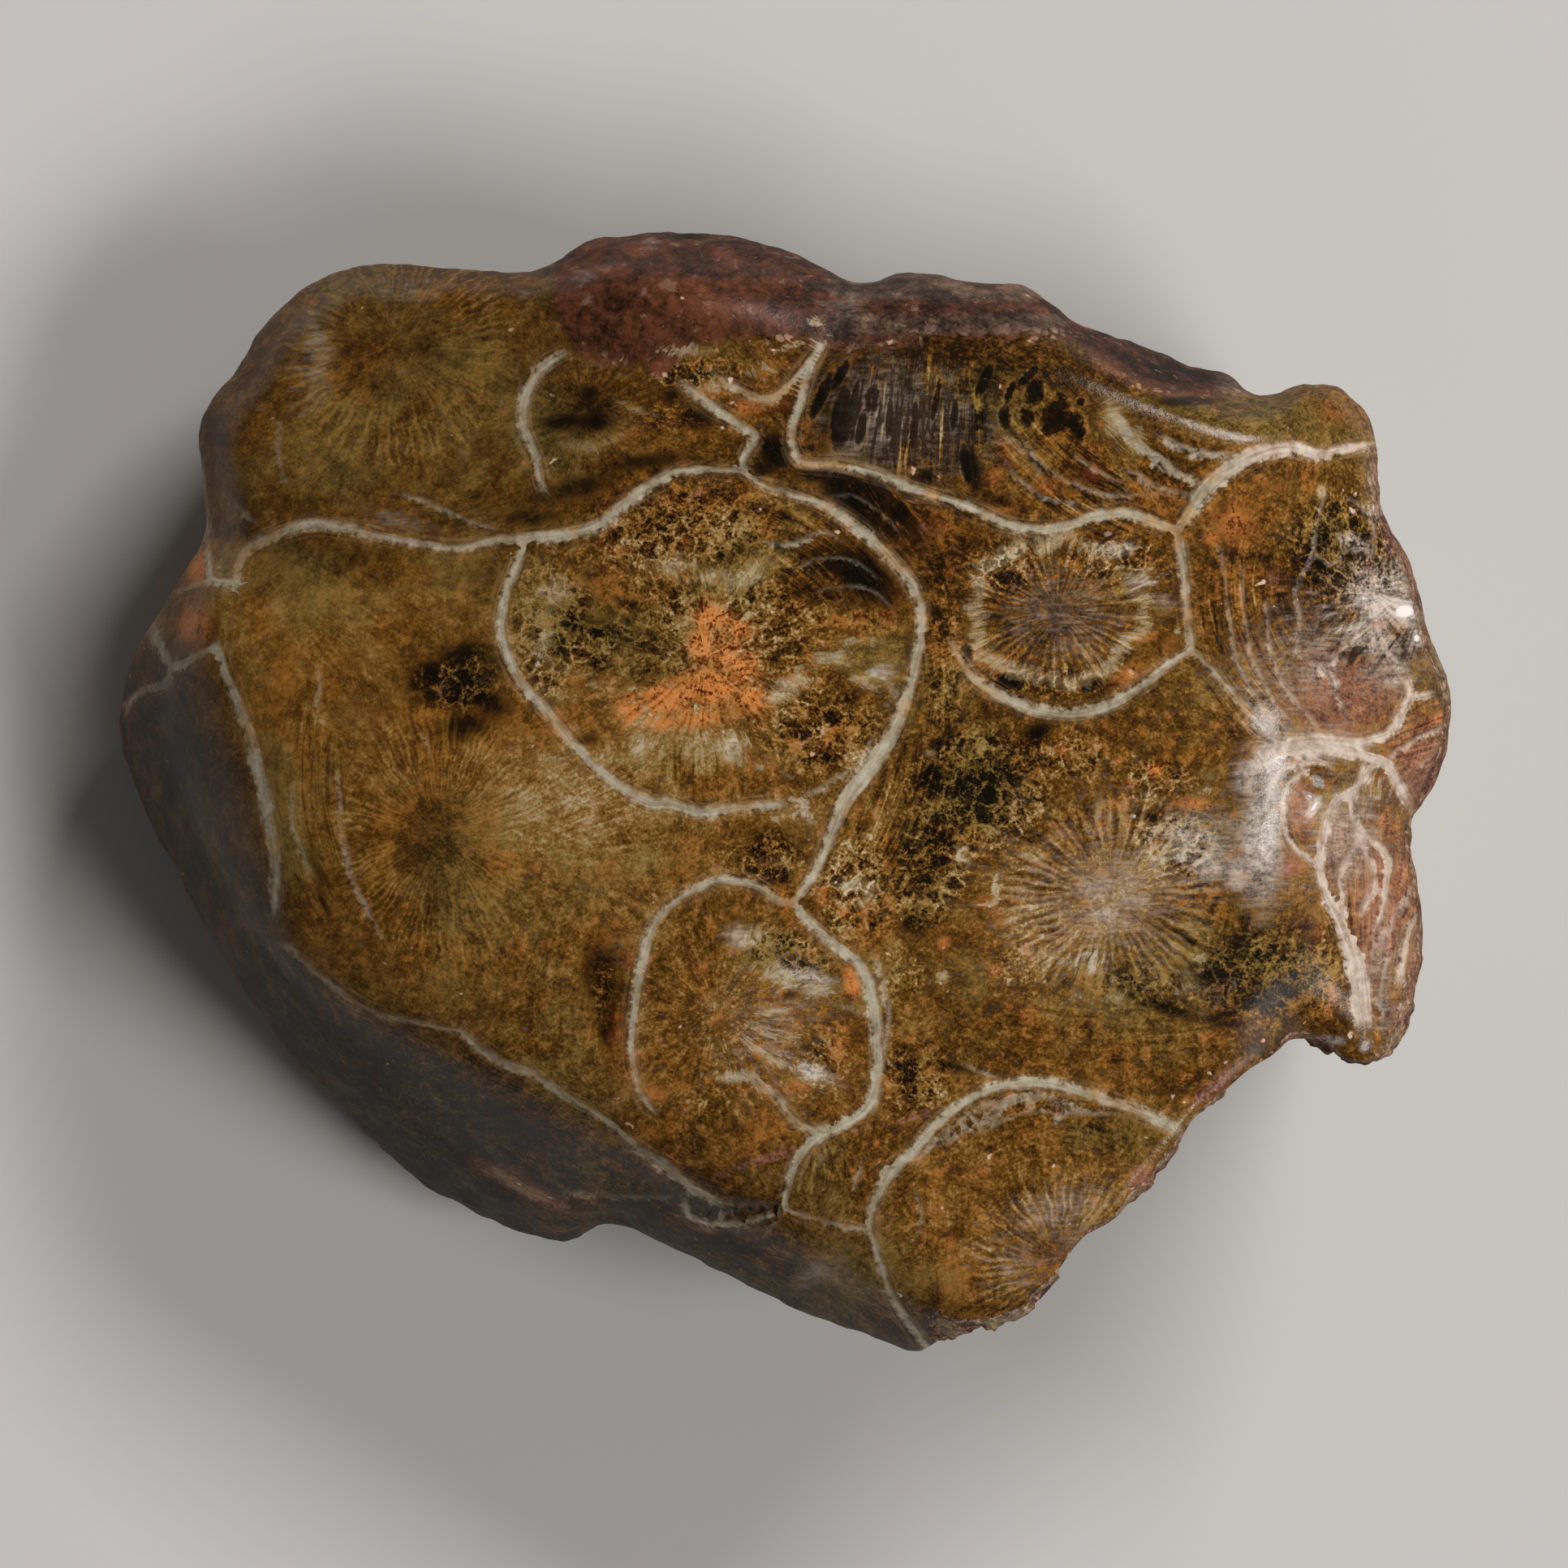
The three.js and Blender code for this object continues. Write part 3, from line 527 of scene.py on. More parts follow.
owner = nearest_calice()
middles = np.array([c[1] for c in CALICES])[owner]
(squash, spoke_from, spoke_to, paleness, darkness, count, hub, tone,
 ring_radius, ring_strength) = np.array([c[2:] for c in CALICES])[owner].T
spoke = at[:, :2] - middles
spoke[:, 0] /= squash
from_hub = np.hypot(spoke[:, 0], spoke[:, 1])
shown = ease(from_hub, spoke_from * 0.6, spoke_from * 1.2) * ease(from_hub, spoke_to * 1.12, spoke_to * 0.86)
bleached = 0.45 + 0.55 * ease(from_hub, spoke_from, 0.75 * spoke_to)
from_gap = np.angle(np.exp(1j * (np.arctan2(spoke[:, 1], spoke[:, 0]) - math.radians(RING_GAP))))
wavy = 0.14 * np.sin(5.0 * from_gap + 0.6) + 0.1 * np.sin(11.0 * from_gap)
ring = ring_strength * np.exp(-(((from_hub + wavy - ring_radius) / RING_HALF) ** 2))
ring *= 1 - 0.5 * np.exp(-((from_gap / 0.6) ** 2))
record("spoke", spoke[:, 0], spoke[:, 1], count)
cell_shade = tone + hub * ease(from_hub, 1.4 * spoke_from + 0.8, 0.5)
record("cup", paleness * shown * bleached, darkness * shown, cell_shade)


# The streaks between the cups
# Where the tubes crowd together the skeleton is drawn out into fine fibres. Some fan out from a point, and
# some run side by side round one.
STREAKS = [
    # hub of the fibres, True where they fan out from it, middle of the patch, half-sizes, turn, strength
    ((-16.0, -3.6), True, (-7.6, -0.6), (4.4, 3.0), 0, 0.45),
    ((-26.0, 14.0), True, (-16.4, 6.6), (4.0, 3.0), 20, 0.35),
    ((-9.0, 1.0), False, (-19.2, -0.5), (1.6, 5.6), 5, 0.8),
    ((-3.0, 4.5), False, (1.8, 9.2), (3.4, 2.2), -35, 0.9),
    ((0.0, 17.5), True, (4.2, 11.4), (2.4, 1.2), -28, 1.0),
    ((-6.0, 4.0), False, (6.3, 6.0), (0.9, 5.0), 0, 0.9),
    ((-10.0, 5.0), False, (4.6, -1.2), (1.8, 5.0), -28, 1.1),
    ((8.0, 46.0), True, (5.4, 15.4), (3.2, 2.8), 0, 2.2),
    ((19.0, 22.0), False, (11.6, 13.0), (4.2, 1.9), -35, 1.5),
    ((24.5, 8.5), False, (18.8, 6.2), (2.2, 4.6), 0, 1.2),
    ((26.6, 8.8), True, (24.2, 6.7), (2.6, 1.9), 0, 1.5),
    ((14.0, 12.0), False, (14.0, -9.4), (7.0, 1.8), 5, 0.5),
    ((11.0, -19.0), False, (9.5, -13.6), (5.5, 1.8), 0, 0.6),
    ((6.6, 30.0), True, (6.6, -18.6), (1.2, 3.6), 0, 0.4),
    ((23.6, -14.0), True, (23.8, -3.5), (2.4, 4.6), 0, 0.7),
    ((20.0, 0.0), True, (26.0, 2.6), (1.8, 2.2), 0, 0.8),
    ((-16.0, 24.0), False, (-14.0, 11.6), (5.0, 1.2), 0, 0.4),
    ((1.5, -13.5), True, (1.6, -15.3), (1.3, 1.4), 0, 0.9),
    ((-3.0, -9.0), False, (-9.0, -8.5), (2.5, 5.0), 20, 0.35),
    ((14.0, -4.0), False, (18.6, -6.4), (3.0, 2.6), 0, 0.5),
    ((-4.0, 30.0), True, (-3.6, 1.0), (2.6, 1.3), 0, 0.7),
]


def out_in_oval(x, y, long, short, turn):
    """How far out each point is along a turned oval's length and along its width; its rim is at 1."""
    dx, dy = at[:, 0] - x, at[:, 1] - y
    c, s = math.cos(math.radians(turn)), math.sin(math.radians(turn))
    return (dx * c + dy * s) / long, (dy * c - dx * s) / short


fibre = np.zeros(len(at))
fibre_strength = np.zeros(len(at))
for hub_at, fans, middle, halves, turn, strength in STREAKS:
    here = strength * ease(np.hypot(*out_in_oval(*middle, *halves, turn)), 1.2, 0.5)
    dx, dy = (at[:, :2] - np.array(hub_at)).T
    typical = math.hypot(middle[0] - hub_at[0], middle[1] - hub_at[1])
    turn_way = math.atan2(middle[1] - hub_at[1], middle[0] - hub_at[0])
    swing = np.angle(np.exp(1j * (np.arctan2(dy, dx) - turn_way)))
    line = swing * typical if fans else np.hypot(dx, dy)
    stronger = here > fibre_strength
    fibre[stronger] = line[stronger]
    fibre_strength[stronger] = here[stronger]


# Broad changes of shade
# The slice is lighter or darker from place to place, with the density of the skeleton and of the filling.
# Some changes are painted light instead: highlights at the right end and shade on the lower left side.
SHADES = [
    # middle, half-sizes, turn, change
    (-8.0, 0.2, 3.0, 2.0, -20, 0.16), (-10.4, -1.6, 2.0, 1.6, 0, 0.06), (9.8, -5.0, 1.6, 2.6, 0, 0.08),
    (-4.0, 1.9, 2.6, 0.9, 0, 0.1), (5.4, 15.6, 3.6, 2.6, 0, -0.17), (22.2, 7.4, 2.6, 4.0, 0, -0.07),
    # Painted shade: the last change on this line darkens the lower left side.
    (22.0, 15.4, 2.4, 1.4, 0, -0.05), (-15.0, -14.0, 7.0, 3.0, -35, -0.06),
    (3.4, 11.8, 2.6, 0.9, -30, -0.14), (12.0, -7.0, 4.0, 1.6, 0, 0.03), (19.3, -2.0, 1.0, 3.0, 0, 0.02),
    (-19.0, 9.6, 2.6, 0.9, 0, -0.07), (-13.2, -4.6, 1.2, 1.8, 0, -0.05), (2.4, 9.0, 2.4, 1.4, -30, -0.1),
    (8.0, 0.4, 2.0, 1.8, 0, -0.08), (-19.4, 18.2, 1.2, 2.0, 0, 0.03), (6.4, -17.5, 1.4, 3.0, 0, 0.1),
    (13.2, -4.1, 4.2, 3.6, 0, 0.07), (19.0, -7.4, 1.9, 1.6, 0, -0.17), (10.4, 4.5, 1.6, 0.5, 0, -0.16),
    (22.4, 9.8, 2.0, 1.4, 0, -0.08), (9.4, -4.6, 1.0, 2.2, 0, 0.06), (-4.5, 3.3, 2.0, 0.8, 0, 0.1),
    (-4.0, 1.7, 2.0, 0.9, 0, 0.07), (14.0, -7.6, 2.0, 0.8, 0, -0.05), (1.6, -8.0, 1.0, 1.2, 0, -0.05),
    (-5.4, 6.4, 1.2, 1.0, 0, 0.05), (10.5, 4.5, 1.6, 0.5, 0, -0.06), (19.2, 5.0, 1.4, 2.0, 25, 0.09),
    (7.2, 9.6, 1.6, 3.0, 0, -0.07), (9.6, 17.3, 3.0, 1.2, 0, -0.06), (-5.0, 12.6, 3.0, 1.0, 8, -0.04),
    # Painted highlights: the last two changes here and the first on the next line, at the right end.
    (2.4, -20.3, 1.9, 1.3, -30, 0.14), (24.0, 8.0, 1.2, 0.9, 0, 0.08), (21.8, 2.0, 2.4, 0.7, 0, 0.12),
    (21.2, -0.8, 0.8, 1.4, 0, 0.08), (-13.3, 4.6, 1.9, 1.2, 15, -0.08), (-8.6, -1.4, 3.4, 2.0, -20, 0.05),
    (-13.0, 2.0, 6.0, 6.0, 0, 0.04), (-16.4, 7.0, 5.0, 3.0, 0, 0.05), (-6.6, -8.0, 0.8, 2.4, 0, -0.1),
    (-24.4, 0.4, 1.4, 2.6, 0, 0.03), (-22.8, 13.2, 0.9, 2.6, 0, 0.08),
]
UNDER_SHADE = 0.17  # how much darker the lower left side is
OVAL_FADE = 0.7


def soft_oval(x, y, long, short, turn):
    """1 in an oval's middle, half at its rim, and fading softly to 0 outside it."""
    out, over = out_in_oval(x, y, long, short, turn)
    return np.exp(-OVAL_FADE * (out**2 + over**2))


shade = np.zeros(len(at))
for *oval, change in SHADES:
    shade += change * soft_oval(*oval)
# Painted shade: the steep sides on the lower left, turned from the lamps, are darkened by UNDER_SHADE.
under = ease(facing[:, 2], 0.85, 0.5) * ease(at[:, 1] + 0.6 * at[:, 0], -8.0, -12.0)
shade -= UNDER_SHADE * under
record("fibre", fibre, fibre_strength, shade)


# Stains and patches
# Iron oxides stain the calcite orange and red, and clay darkens it; the dark patch under the red rock's
# hump is a painted shadow, and those on the lower left side are partly painted shade. Elsewhere it is
# bleached to cream or ash grey, netted like moss, or tinged olive or golden; at the right end some pale
# and ash grey patches are painted sheen and highlights. Some spots glint, and the polish is dull by
# the notch.
PATCHES = {
    # middle, half-sizes, turn, strength
    "orange": [
        (-2.9, 7.2, 0.9, 0.8, 0, 1.05), (-3.3, 6.1, 0.7, 0.8, 0, 1.1), (-1.8, 6.7, 0.7, 0.6, 0, 0.95),
        (-1.6, 5.2, 0.8, 0.8, 0, 1.05), (-2.4, 5.7, 1.0, 0.8, 0, 0.95), (-3.0, 4.4, 1.5, 0.8, 0, 1.15),
        (-1.3, 3.9, 0.9, 0.7, 0, 1.05), (-4.9, 3.9, 1.3, 0.7, 0, 1.05), (-6.3, 3.4, 0.7, 0.9, 0, 0.95),
        (-5.2, 2.9, 1.0, 0.4, 0, 0.8), (-3.4, 3.1, 1.2, 0.5, 0, 0.9), (-1.6, 15.8, 0.8, 0.5, 0, 0.85),
        (-0.2, 16.0, 0.6, 0.5, 0, 0.6), (9.2, 13.9, 0.45, 0.8, 40, 0.85), (10.7, 12.5, 0.5, 0.4, 0, 0.95),
        (12.6, 13.1, 0.6, 0.3, 0, 0.8), (8.6, 13.0, 0.5, 0.6, 0, 0.75), (8.9, 11.6, 0.8, 0.3, -20, 0.7),
        (18.4, 11.0, 0.9, 1.0, 0, 0.85), (17.4, 10.4, 0.4, 0.5, 0, 0.95), (14.0, 4.9, 0.9, 0.45, 35, 0.9),
        (14.9, 6.4, 0.5, 0.22, 20, 0.95), (15.7, 6.2, 0.5, 0.5, 30, 0.75), (-24.2, 6.9, 0.7, 0.8, 0, 1.3),
        (-24.1, 9.5, 0.45, 0.9, 0, 1.2), (-6.8, -9.6, 0.4, 1.2, 0, 0.75), (-6.3, -6.4, 0.3, 1.3, 0, 0.65),
        (2.75, -7.6, 0.45, 0.8, 10, 1.05), (2.3, -10.6, 0.8, 1.6, 0, 0.6), (0.4, -11.9, 0.9, 0.4, 0, 0.75),
        (-5.3, -12.2, 0.7, 0.5, 0, 0.75), (-3.4, -7.0, 0.5, 0.4, 0, 0.65), (-4.8, -4.9, 0.5, 0.3, 0, 0.65),
        (1.6, -4.1, 0.5, 0.5, 0, 0.75), (2.4, -4.8, 0.4, 0.5, 0, 0.65), (6.5, -6.1, 0.4, 0.5, 0, 0.8),
        (8.1, -4.3, 0.35, 0.3, 0, 0.75), (8.6, -7.1, 0.35, 0.3, 0, 0.7), (10.0, -9.1, 0.5, 0.25, -20, 0.8),
        (16.8, -0.35, 1.1, 0.35, 0, 0.9), (15.1, 1.0, 0.5, 0.4, 0, 0.85), (14.0, 0.4, 0.7, 0.3, 0, 0.6),
        (11.3, 1.8, 0.6, 0.4, 10, 0.75), (17.1, -1.9, 0.4, 0.25, 0, 0.65), (12.9, -1.3, 0.3, 0.5, 0, 0.65),
        (11.2, -5.9, 0.8, 0.3, 0, 0.6), (26.8, 3.1, 0.7, 0.35, 25, 0.9), (22.6, 15.6, 1.2, 0.6, -10, 0.7),
        (3.1, 7.4, 0.4, 0.4, 0, 0.7), (4.2, 7.2, 0.4, 0.5, 0, 0.7), (-7.0, 9.9, 0.7, 0.5, 0, 0.65),
        (-4.0, 10.3, 0.6, 0.4, 0, 0.7), (-5.0, 12.0, 0.7, 0.4, 0, 0.6), (-21.2, 18.5, 0.25, 0.25, 0, 0.8),
        (-10.6, 13.5, 0.25, 0.25, 0, 0.9), (-19.5, 0.6, 0.22, 2.0, 3, 0.65),
        (-21.7, -1.2, 0.3, 0.7, 0, 0.5), (8.8, -14.9, 0.5, 0.2, 10, 0.8), (8.0, -15.4, 0.6, 0.25, 0, 0.7),
        (10.8, -14.6, 0.6, 0.2, 0, 0.7), (6.3, -17.0, 0.4, 0.5, 0, 0.6), (6.8, -18.3, 0.3, 0.5, 0, 0.8),
        (6.6, -20.2, 0.4, 1.2, 0, 0.6), (1.2, -18.7, 1.3, 0.5, -10, 0.6), (15.5, 15.3, 0.7, 0.25, 0, 0.6),
        (12.9, 15.1, 0.2, 0.2, 0, 0.9), (-14.6, 8.9, 1.0, 0.5, 20, 0.55), (20.0, 12.6, 0.7, 0.5, 20, 0.6),
        (22.2, -8.0, 0.4, 1.6, 0, 0.6), (21.8, -5.6, 0.5, 0.8, 0, 0.6), (24.5, -1.1, 0.4, 0.5, 0, 0.85),
        (-9.5, 2.6, 0.5, 0.3, -40, 0.5), (6.6, 10.9, 0.9, 0.4, -10, 0.7), (-16.4, 3.2, 0.8, 0.6, 0, 0.45),
        (5.8, 8.0, 0.3, 1.0, 0, 0.5), (19.0, 9.0, 0.5, 0.8, 0, 0.6),
    ],
    "dark": [
        (2.5, 15.5, 1.3, 2.0, -8, 0.85), (4.5, 15.1, 1.3, 2.0, -4, 0.75), (6.6, 14.6, 1.2, 1.8, 8, 0.6),
        (-23.0, 14.5, 0.5, 0.8, 0, 0.7), (-14.4, 4.9, 1.0, 0.6, 30, 1.15), (-12.9, 5.7, 1.2, 0.6, 10, 1.15),
        (-11.9, 3.7, 1.0, 0.5, -30, 1.05), (-11.7, 5.2, 0.5, 0.8, 0, 0.8), (-13.0, 2.8, 1.3, 0.7, 12, 0.95),
        (-13.4, 4.5, 1.9, 1.1, 15, 0.8), (-10.4, 11.3, 1.3, 0.5, 0, 0.8), (-8.5, 12.5, 2.0, 0.6, 10, 0.75),
        (-9.6, 12.2, 0.8, 0.6, 0, 0.65), (-5.6, 13.6, 2.0, 0.4, 8, 0.8), (-9.3, 15.2, 1.2, 0.5, 0, 0.8),
        (-7.6, 15.2, 0.8, 0.4, 0, 0.9), (-7.9, 16.4, 0.7, 0.5, 0, 0.7), (-3.6, 15.3, 0.9, 0.5, 0, 0.9),
        (-4.6, 16.3, 0.6, 0.4, 0, 0.8), (-0.4, 14.0, 0.6, 0.8, 10, 1.25), (-0.9, 13.3, 0.4, 0.3, 0, 1.0),
        (3.4, 11.9, 2.4, 0.8, -30, 1.15), (1.7, 13.0, 1.3, 0.35, 0, 1.0), (4.4, 10.9, 0.8, 0.8, -30, 0.9),
        (2.9, 9.0, 2.4, 1.0, -30, 0.95), (1.2, 8.2, 1.6, 0.6, -15, 0.7), (-7.0, 6.6, 1.2, 0.9, 0, 0.85),
        (-5.4, 6.2, 1.2, 0.8, 0, 0.75), (-8.4, 8.3, 1.0, 0.6, -30, 0.75), (-6.2, 7.7, 1.2, 0.5, -15, 0.7),
        (-7.9, 4.6, 0.9, 0.4, 40, 0.7), (-5.6, 4.9, 1.2, 0.4, 20, 0.65), (-9.3, 6.0, 0.6, 1.0, 0, 0.7),
        (-7.6, 5.4, 0.7, 0.3, -20, 1.0), (-8.5, 7.2, 0.6, 0.9, 0, 0.85), (7.7, -0.9, 0.8, 0.4, 0, 0.8),
        (5.4, -5.3, 0.9, 0.7, 0, 0.8), (-0.6, -2.0, 1.2, 0.8, 20, 0.85), (-0.5, -3.3, 0.9, 0.45, 0, 0.95),
        (-7.5, -7.4, 0.8, 1.7, 0, 0.95), (-7.1, -9.5, 0.6, 1.2, 0, 0.85), (6.8, -11.1, 1.4, 0.3, -8, 0.9),
        (1.6, 3.4, 0.6, 0.5, 0, 0.85), (2.6, 3.9, 0.6, 0.4, 0, 0.8), (0.6, 2.6, 0.6, 0.5, 0, 0.8),
        (1.6, 1.6, 0.8, 0.5, 0, 0.8), (15.6, -8.7, 1.8, 0.3, -18, 1.0), (17.6, -9.2, 1.2, 0.3, -10, 0.8),
        (19.4, -6.4, 1.4, 0.5, 0, 0.75), (20.3, -7.9, 0.8, 0.7, 0, 0.7), (18.2, -6.0, 0.8, 0.6, 0, 0.6),
        (-8.0, 2.2, 0.6, 0.3, 0, 1.0), (5.1, 5.8, 0.25, 0.8, 0, 0.9), (-25.0, 1.2, 0.9, 2.0, 0, 0.7),
        (-22.4, 12.1, 0.2, 0.8, 30, 0.8), (-19.1, -2.8, 0.25, 1.2, 20, 0.85),
        (-20.7, 0.6, 0.2, 2.6, 4, 0.8), (-18.8, -4.4, 0.3, 0.8, 30, 0.8), (7.6, 13.4, 0.35, 1.3, 12, 1.0),
        (5.2, 14.8, 0.4, 1.1, 0, 0.95), (5.8, 12.9, 0.4, 0.4, 0, 0.95), (8.2, 16.9, 0.35, 0.8, -12, 0.9),
        (5.0, 16.7, 0.4, 0.7, 0, 0.8), (8.8, 11.9, 0.8, 0.25, -10, 0.9), (10.6, 12.0, 0.8, 0.25, -30, 0.9),
        (10.4, 13.4, 0.8, 0.2, -35, 0.7), (12.0, 12.9, 0.8, 0.2, -20, 0.7),
        # Painted shadow: the first patch on this line, where the face steps down under the red rock's hump.
        (16.5, 16.05, 1.5, 0.25, 3, 1.1), (0.2, -6.7, 0.9, 0.35, -25, 0.85),
        (-2.0, -5.0, 1.0, 0.25, -20, 0.7), (12.6, 10.5, 1.2, 0.25, 10, 0.9),
        (10.1, 10.2, 0.35, 0.35, 0, 1.0), (10.6, 10.4, 0.2, 0.25, 0, 1.0), (9.2, 8.8, 1.0, 0.35, -20, 0.8),
        (8.8, 7.4, 0.8, 0.3, 0, 0.7), (13.8, 5.6, 0.8, 0.3, 40, 0.85), (12.1, 9.7, 0.2, 0.5, 0, 0.7),
        (-10.0, 6.2, 0.3, 1.2, 0, 0.6), (-2.0, 9.9, 1.2, 0.3, 15, 0.7), (-0.6, 11.4, 1.6, 0.35, -12, 0.75),
        (6.6, 2.8, 0.4, 1.2, 0, 0.6), (14.9, -0.9, 0.6, 0.25, 0, 0.8), (15.7, -0.7, 0.5, 0.2, 0, 0.8),
        (-3.7, -10.6, 0.7, 0.5, 0, 0.45), (1.2, -15.8, 0.4, 0.7, 0, 0.7), (-1.8, -13.5, 1.6, 0.3, -5, 0.5),
        (22.0, 10.5, 0.5, 0.6, 0, 0.85), (21.8, 9.1, 0.4, 0.7, 0, 0.85), (23.2, 9.8, 0.5, 0.3, 0, 0.8),
        (23.7, 10.6, 0.4, 0.3, 0, 0.85), (24.2, 11.3, 0.3, 0.3, 0, 0.7), (19.6, 7.2, 0.6, 0.5, 0, 0.6),
        (20.8, 8.6, 0.3, 0.8, 0, 0.7), (17.9, 11.6, 0.3, 0.4, 0, 0.8), (18.9, 12.8, 0.4, 0.3, 0, 0.7),
        (16.3, -5.9, 1.2, 0.25, -30, 0.85), (15.3, -5.4, 0.6, 0.3, -20, 0.7),
        (18.8, -5.0, 1.0, 0.3, 0, 0.7), (14.2, -7.6, 0.3, 0.6, 0, 0.6), (17.2, -7.2, 2.2, 0.8, -10, 0.6),
        # Painted shade with dark stone: the last patch on this line and both on the next darken the lower
        # left side.
        (19.2, -8.4, 1.4, 0.6, 0, 0.6), (17.9, -3.4, 0.6, 0.25, 0, 0.6), (-20.4, -10.2, 2.4, 1.2, -40, 0.5),
        (-11.0, -13.6, 3.0, 1.4, -32, 0.5), (-14.6, -16.0, 2.0, 1.0, -30, 0.5),
        (2.6, -20.8, 0.8, 0.8, 0, 0.4), (5.1, -8.2, 0.4, 0.5, 0, 0.5), (-4.5, 8.3, 0.5, 0.25, 0, 0.8),
        (-7.9, 9.0, 0.5, 0.3, 0, 0.7), (10.2, 2.4, 0.9, 0.4, 35, 1.1), (9.4, 1.2, 0.9, 0.8, 20, 0.95),
        (8.0, 0.4, 1.5, 0.9, 15, 0.85), (7.0, -0.9, 1.4, 0.7, 30, 0.8), (6.3, -2.3, 0.7, 1.0, 0, 0.95),
        (5.6, -3.4, 0.6, 0.9, 0, 0.85), (6.0, 0.6, 0.6, 0.9, 0, 0.8), (5.0, -11.2, 0.5, 1.3, 8, 1.0),
        (-13.4, 5.3, 1.6, 0.4, 24, 1.0), (-15.0, 4.5, 0.5, 0.3, 40, 1.0), (4.6, 9.6, 0.5, 0.8, -20, 0.8),
        (-12.2, 11.6, 1.0, 0.25, 10, 0.5),
    ],
    "pale": [
        (0.2, 4.4, 1.3, 0.5, 32, 1.0), (2.0, 5.5, 1.0, 0.35, 5, 1.0), (-1.6, 8.9, 1.2, 0.5, 30, 0.9),
        (-4.6, 9.3, 1.1, 0.5, 0, 0.85), (-3.0, 8.9, 0.6, 0.5, 0, 0.8), (-5.9, 2.1, 0.5, 0.8, 0, 0.8),
        (-2.1, 1.9, 0.7, 0.8, 0, 0.95), (-9.2, 8.3, 0.9, 0.7, 0, 0.95), (-9.8, 6.4, 0.5, 1.2, 0, 0.95),
        (-8.3, 4.9, 1.0, 0.3, -35, 0.8), (-8.9, 4.0, 0.6, 0.3, -40, 0.7), (0.9, -0.7, 1.1, 0.4, -50, 0.9),
        (0.0, -0.9, 0.8, 0.3, 10, 0.8), (3.4, 4.7, 0.8, 0.3, -10, 0.9), (3.0, 6.2, 1.2, 0.2, 0, 0.8),
        (-1.4, -5.9, 0.8, 0.4, 20, 0.9), (-0.2, -7.4, 0.9, 0.5, -10, 1.05), (1.3, -7.9, 0.9, 0.3, 0, 1.0),
        (-0.4, -8.8, 0.9, 0.2, 0, 1.0), (-0.9, -9.6, 0.7, 0.2, -20, 0.9), (-1.2, -10.3, 0.8, 0.2, -35, 0.9),
        (-0.3, -10.9, 0.6, 0.3, -20, 1.0), (1.0, -11.3, 0.9, 0.4, -20, 0.9), (1.8, -11.7, 0.4, 0.3, 0, 0.7),
        (-2.0, -11.5, 1.0, 0.3, 0, 0.95), (-0.8, -12.0, 0.5, 0.3, -30, 0.95), (0.2, -9.8, 0.8, 0.5, 0, 0.7),
        # Painted glare: the first two patches on this line, at the upper right of the right end.
        (24.6, 7.7, 1.4, 0.45, -12, 1.0), (23.2, 6.9, 1.2, 0.3, 20, 0.8), (-21.4, 15.8, 0.22, 0.3, 0, 0.9),
        (-13.2, 13.7, 0.3, 0.9, -30, 0.7), (-14.7, 12.4, 0.5, 0.15, 0, 0.6),
        (-16.4, 14.1, 0.5, 0.3, 0, 0.6), (-8.3, 14.2, 0.9, 0.3, 0, 0.95), (-6.9, 14.5, 0.7, 0.2, 25, 0.85),
        (-6.2, 15.8, 0.9, 0.2, -20, 0.9), (13.4, 15.3, 0.5, 0.9, 10, 0.95),
        (14.2, 14.4, 0.6, 0.6, -40, 0.8), (12.2, -6.8, 2.2, 0.9, -10, 0.5), (15.8, -2.4, 1.4, 0.8, 20, 0.7),
        (-26.1, 6.9, 0.5, 0.7, -35, 1.1), (0.3, 18.3, 0.8, 0.15, 20, 1.2), (-3.0, 16.6, 0.5, 0.3, 0, 1.0),
        (1.3, 19.3, 0.4, 0.2, 10, 1.0), (-4.0, 18.1, 1.1, 0.25, 0, 0.9), (-0.9, 17.3, 0.9, 0.4, 0, 0.7),
        (14.6, 8.5, 0.8, 0.7, 0, 0.6), (13.3, 9.9, 1.0, 0.4, 10, 0.75), (8.8, 9.6, 0.9, 0.5, 30, 0.7),
        (23.7, -8.6, 0.5, 1.0, 0, 0.8), (25.3, -8.7, 0.25, 0.3, 0, 1.2), (24.2, 0.4, 0.9, 0.8, 0, 0.7),
        (24.0, 11.7, 0.7, 0.3, -20, 0.8), (2.0, -16.4, 0.3, 0.3, 0, 0.8), (-9.6, 1.4, 1.6, 0.8, -20, 0.45),
        (-14.8, -11.0, 0.7, 0.4, -40, 0.5), (-10.8, -16.1, 1.9, 0.3, -28, 1.1),
        (5.9, 1.7, 0.2, 0.2, 0, 0.9), (3.0, -3.7, 0.9, 0.35, 0, 1.0), (3.3, -4.4, 0.5, 0.5, 0, 0.7),
        (6.3, 17.0, 1.6, 0.8, 0, 0.4), (8.6, -3.8, 0.14, 0.45, 0, 1.5), (8.4, -4.4, 0.4, 0.14, 0, 1.2),
        (7.2, -2.4, 0.35, 0.5, 0, 1.0), (6.4, -7.4, 0.25, 0.25, 0, 1.3), (22.4, -1.6, 2.2, 2.6, 0, 0.3),
        (-1.9, 15.2, 0.7, 0.2, -30, 0.6), (3.4, -0.4, 0.5, 0.25, -60, 0.6), (-0.9, 1.1, 0.8, 0.4, 0, 0.55),
        (-8.4, 10.0, 0.9, 0.2, 25, 0.7), (4.5, 17.6, 1.0, 0.4, 0, 0.4), (15.0, -0.1, 0.6, 0.3, 0, 0.8),
        (17.2, 0.1, 0.5, 0.2, 0, 0.8), (14.4, 6.35, 0.16, 0.14, 0, 1.4), (14.1, 4.95, 0.14, 0.16, 0, 1.3),
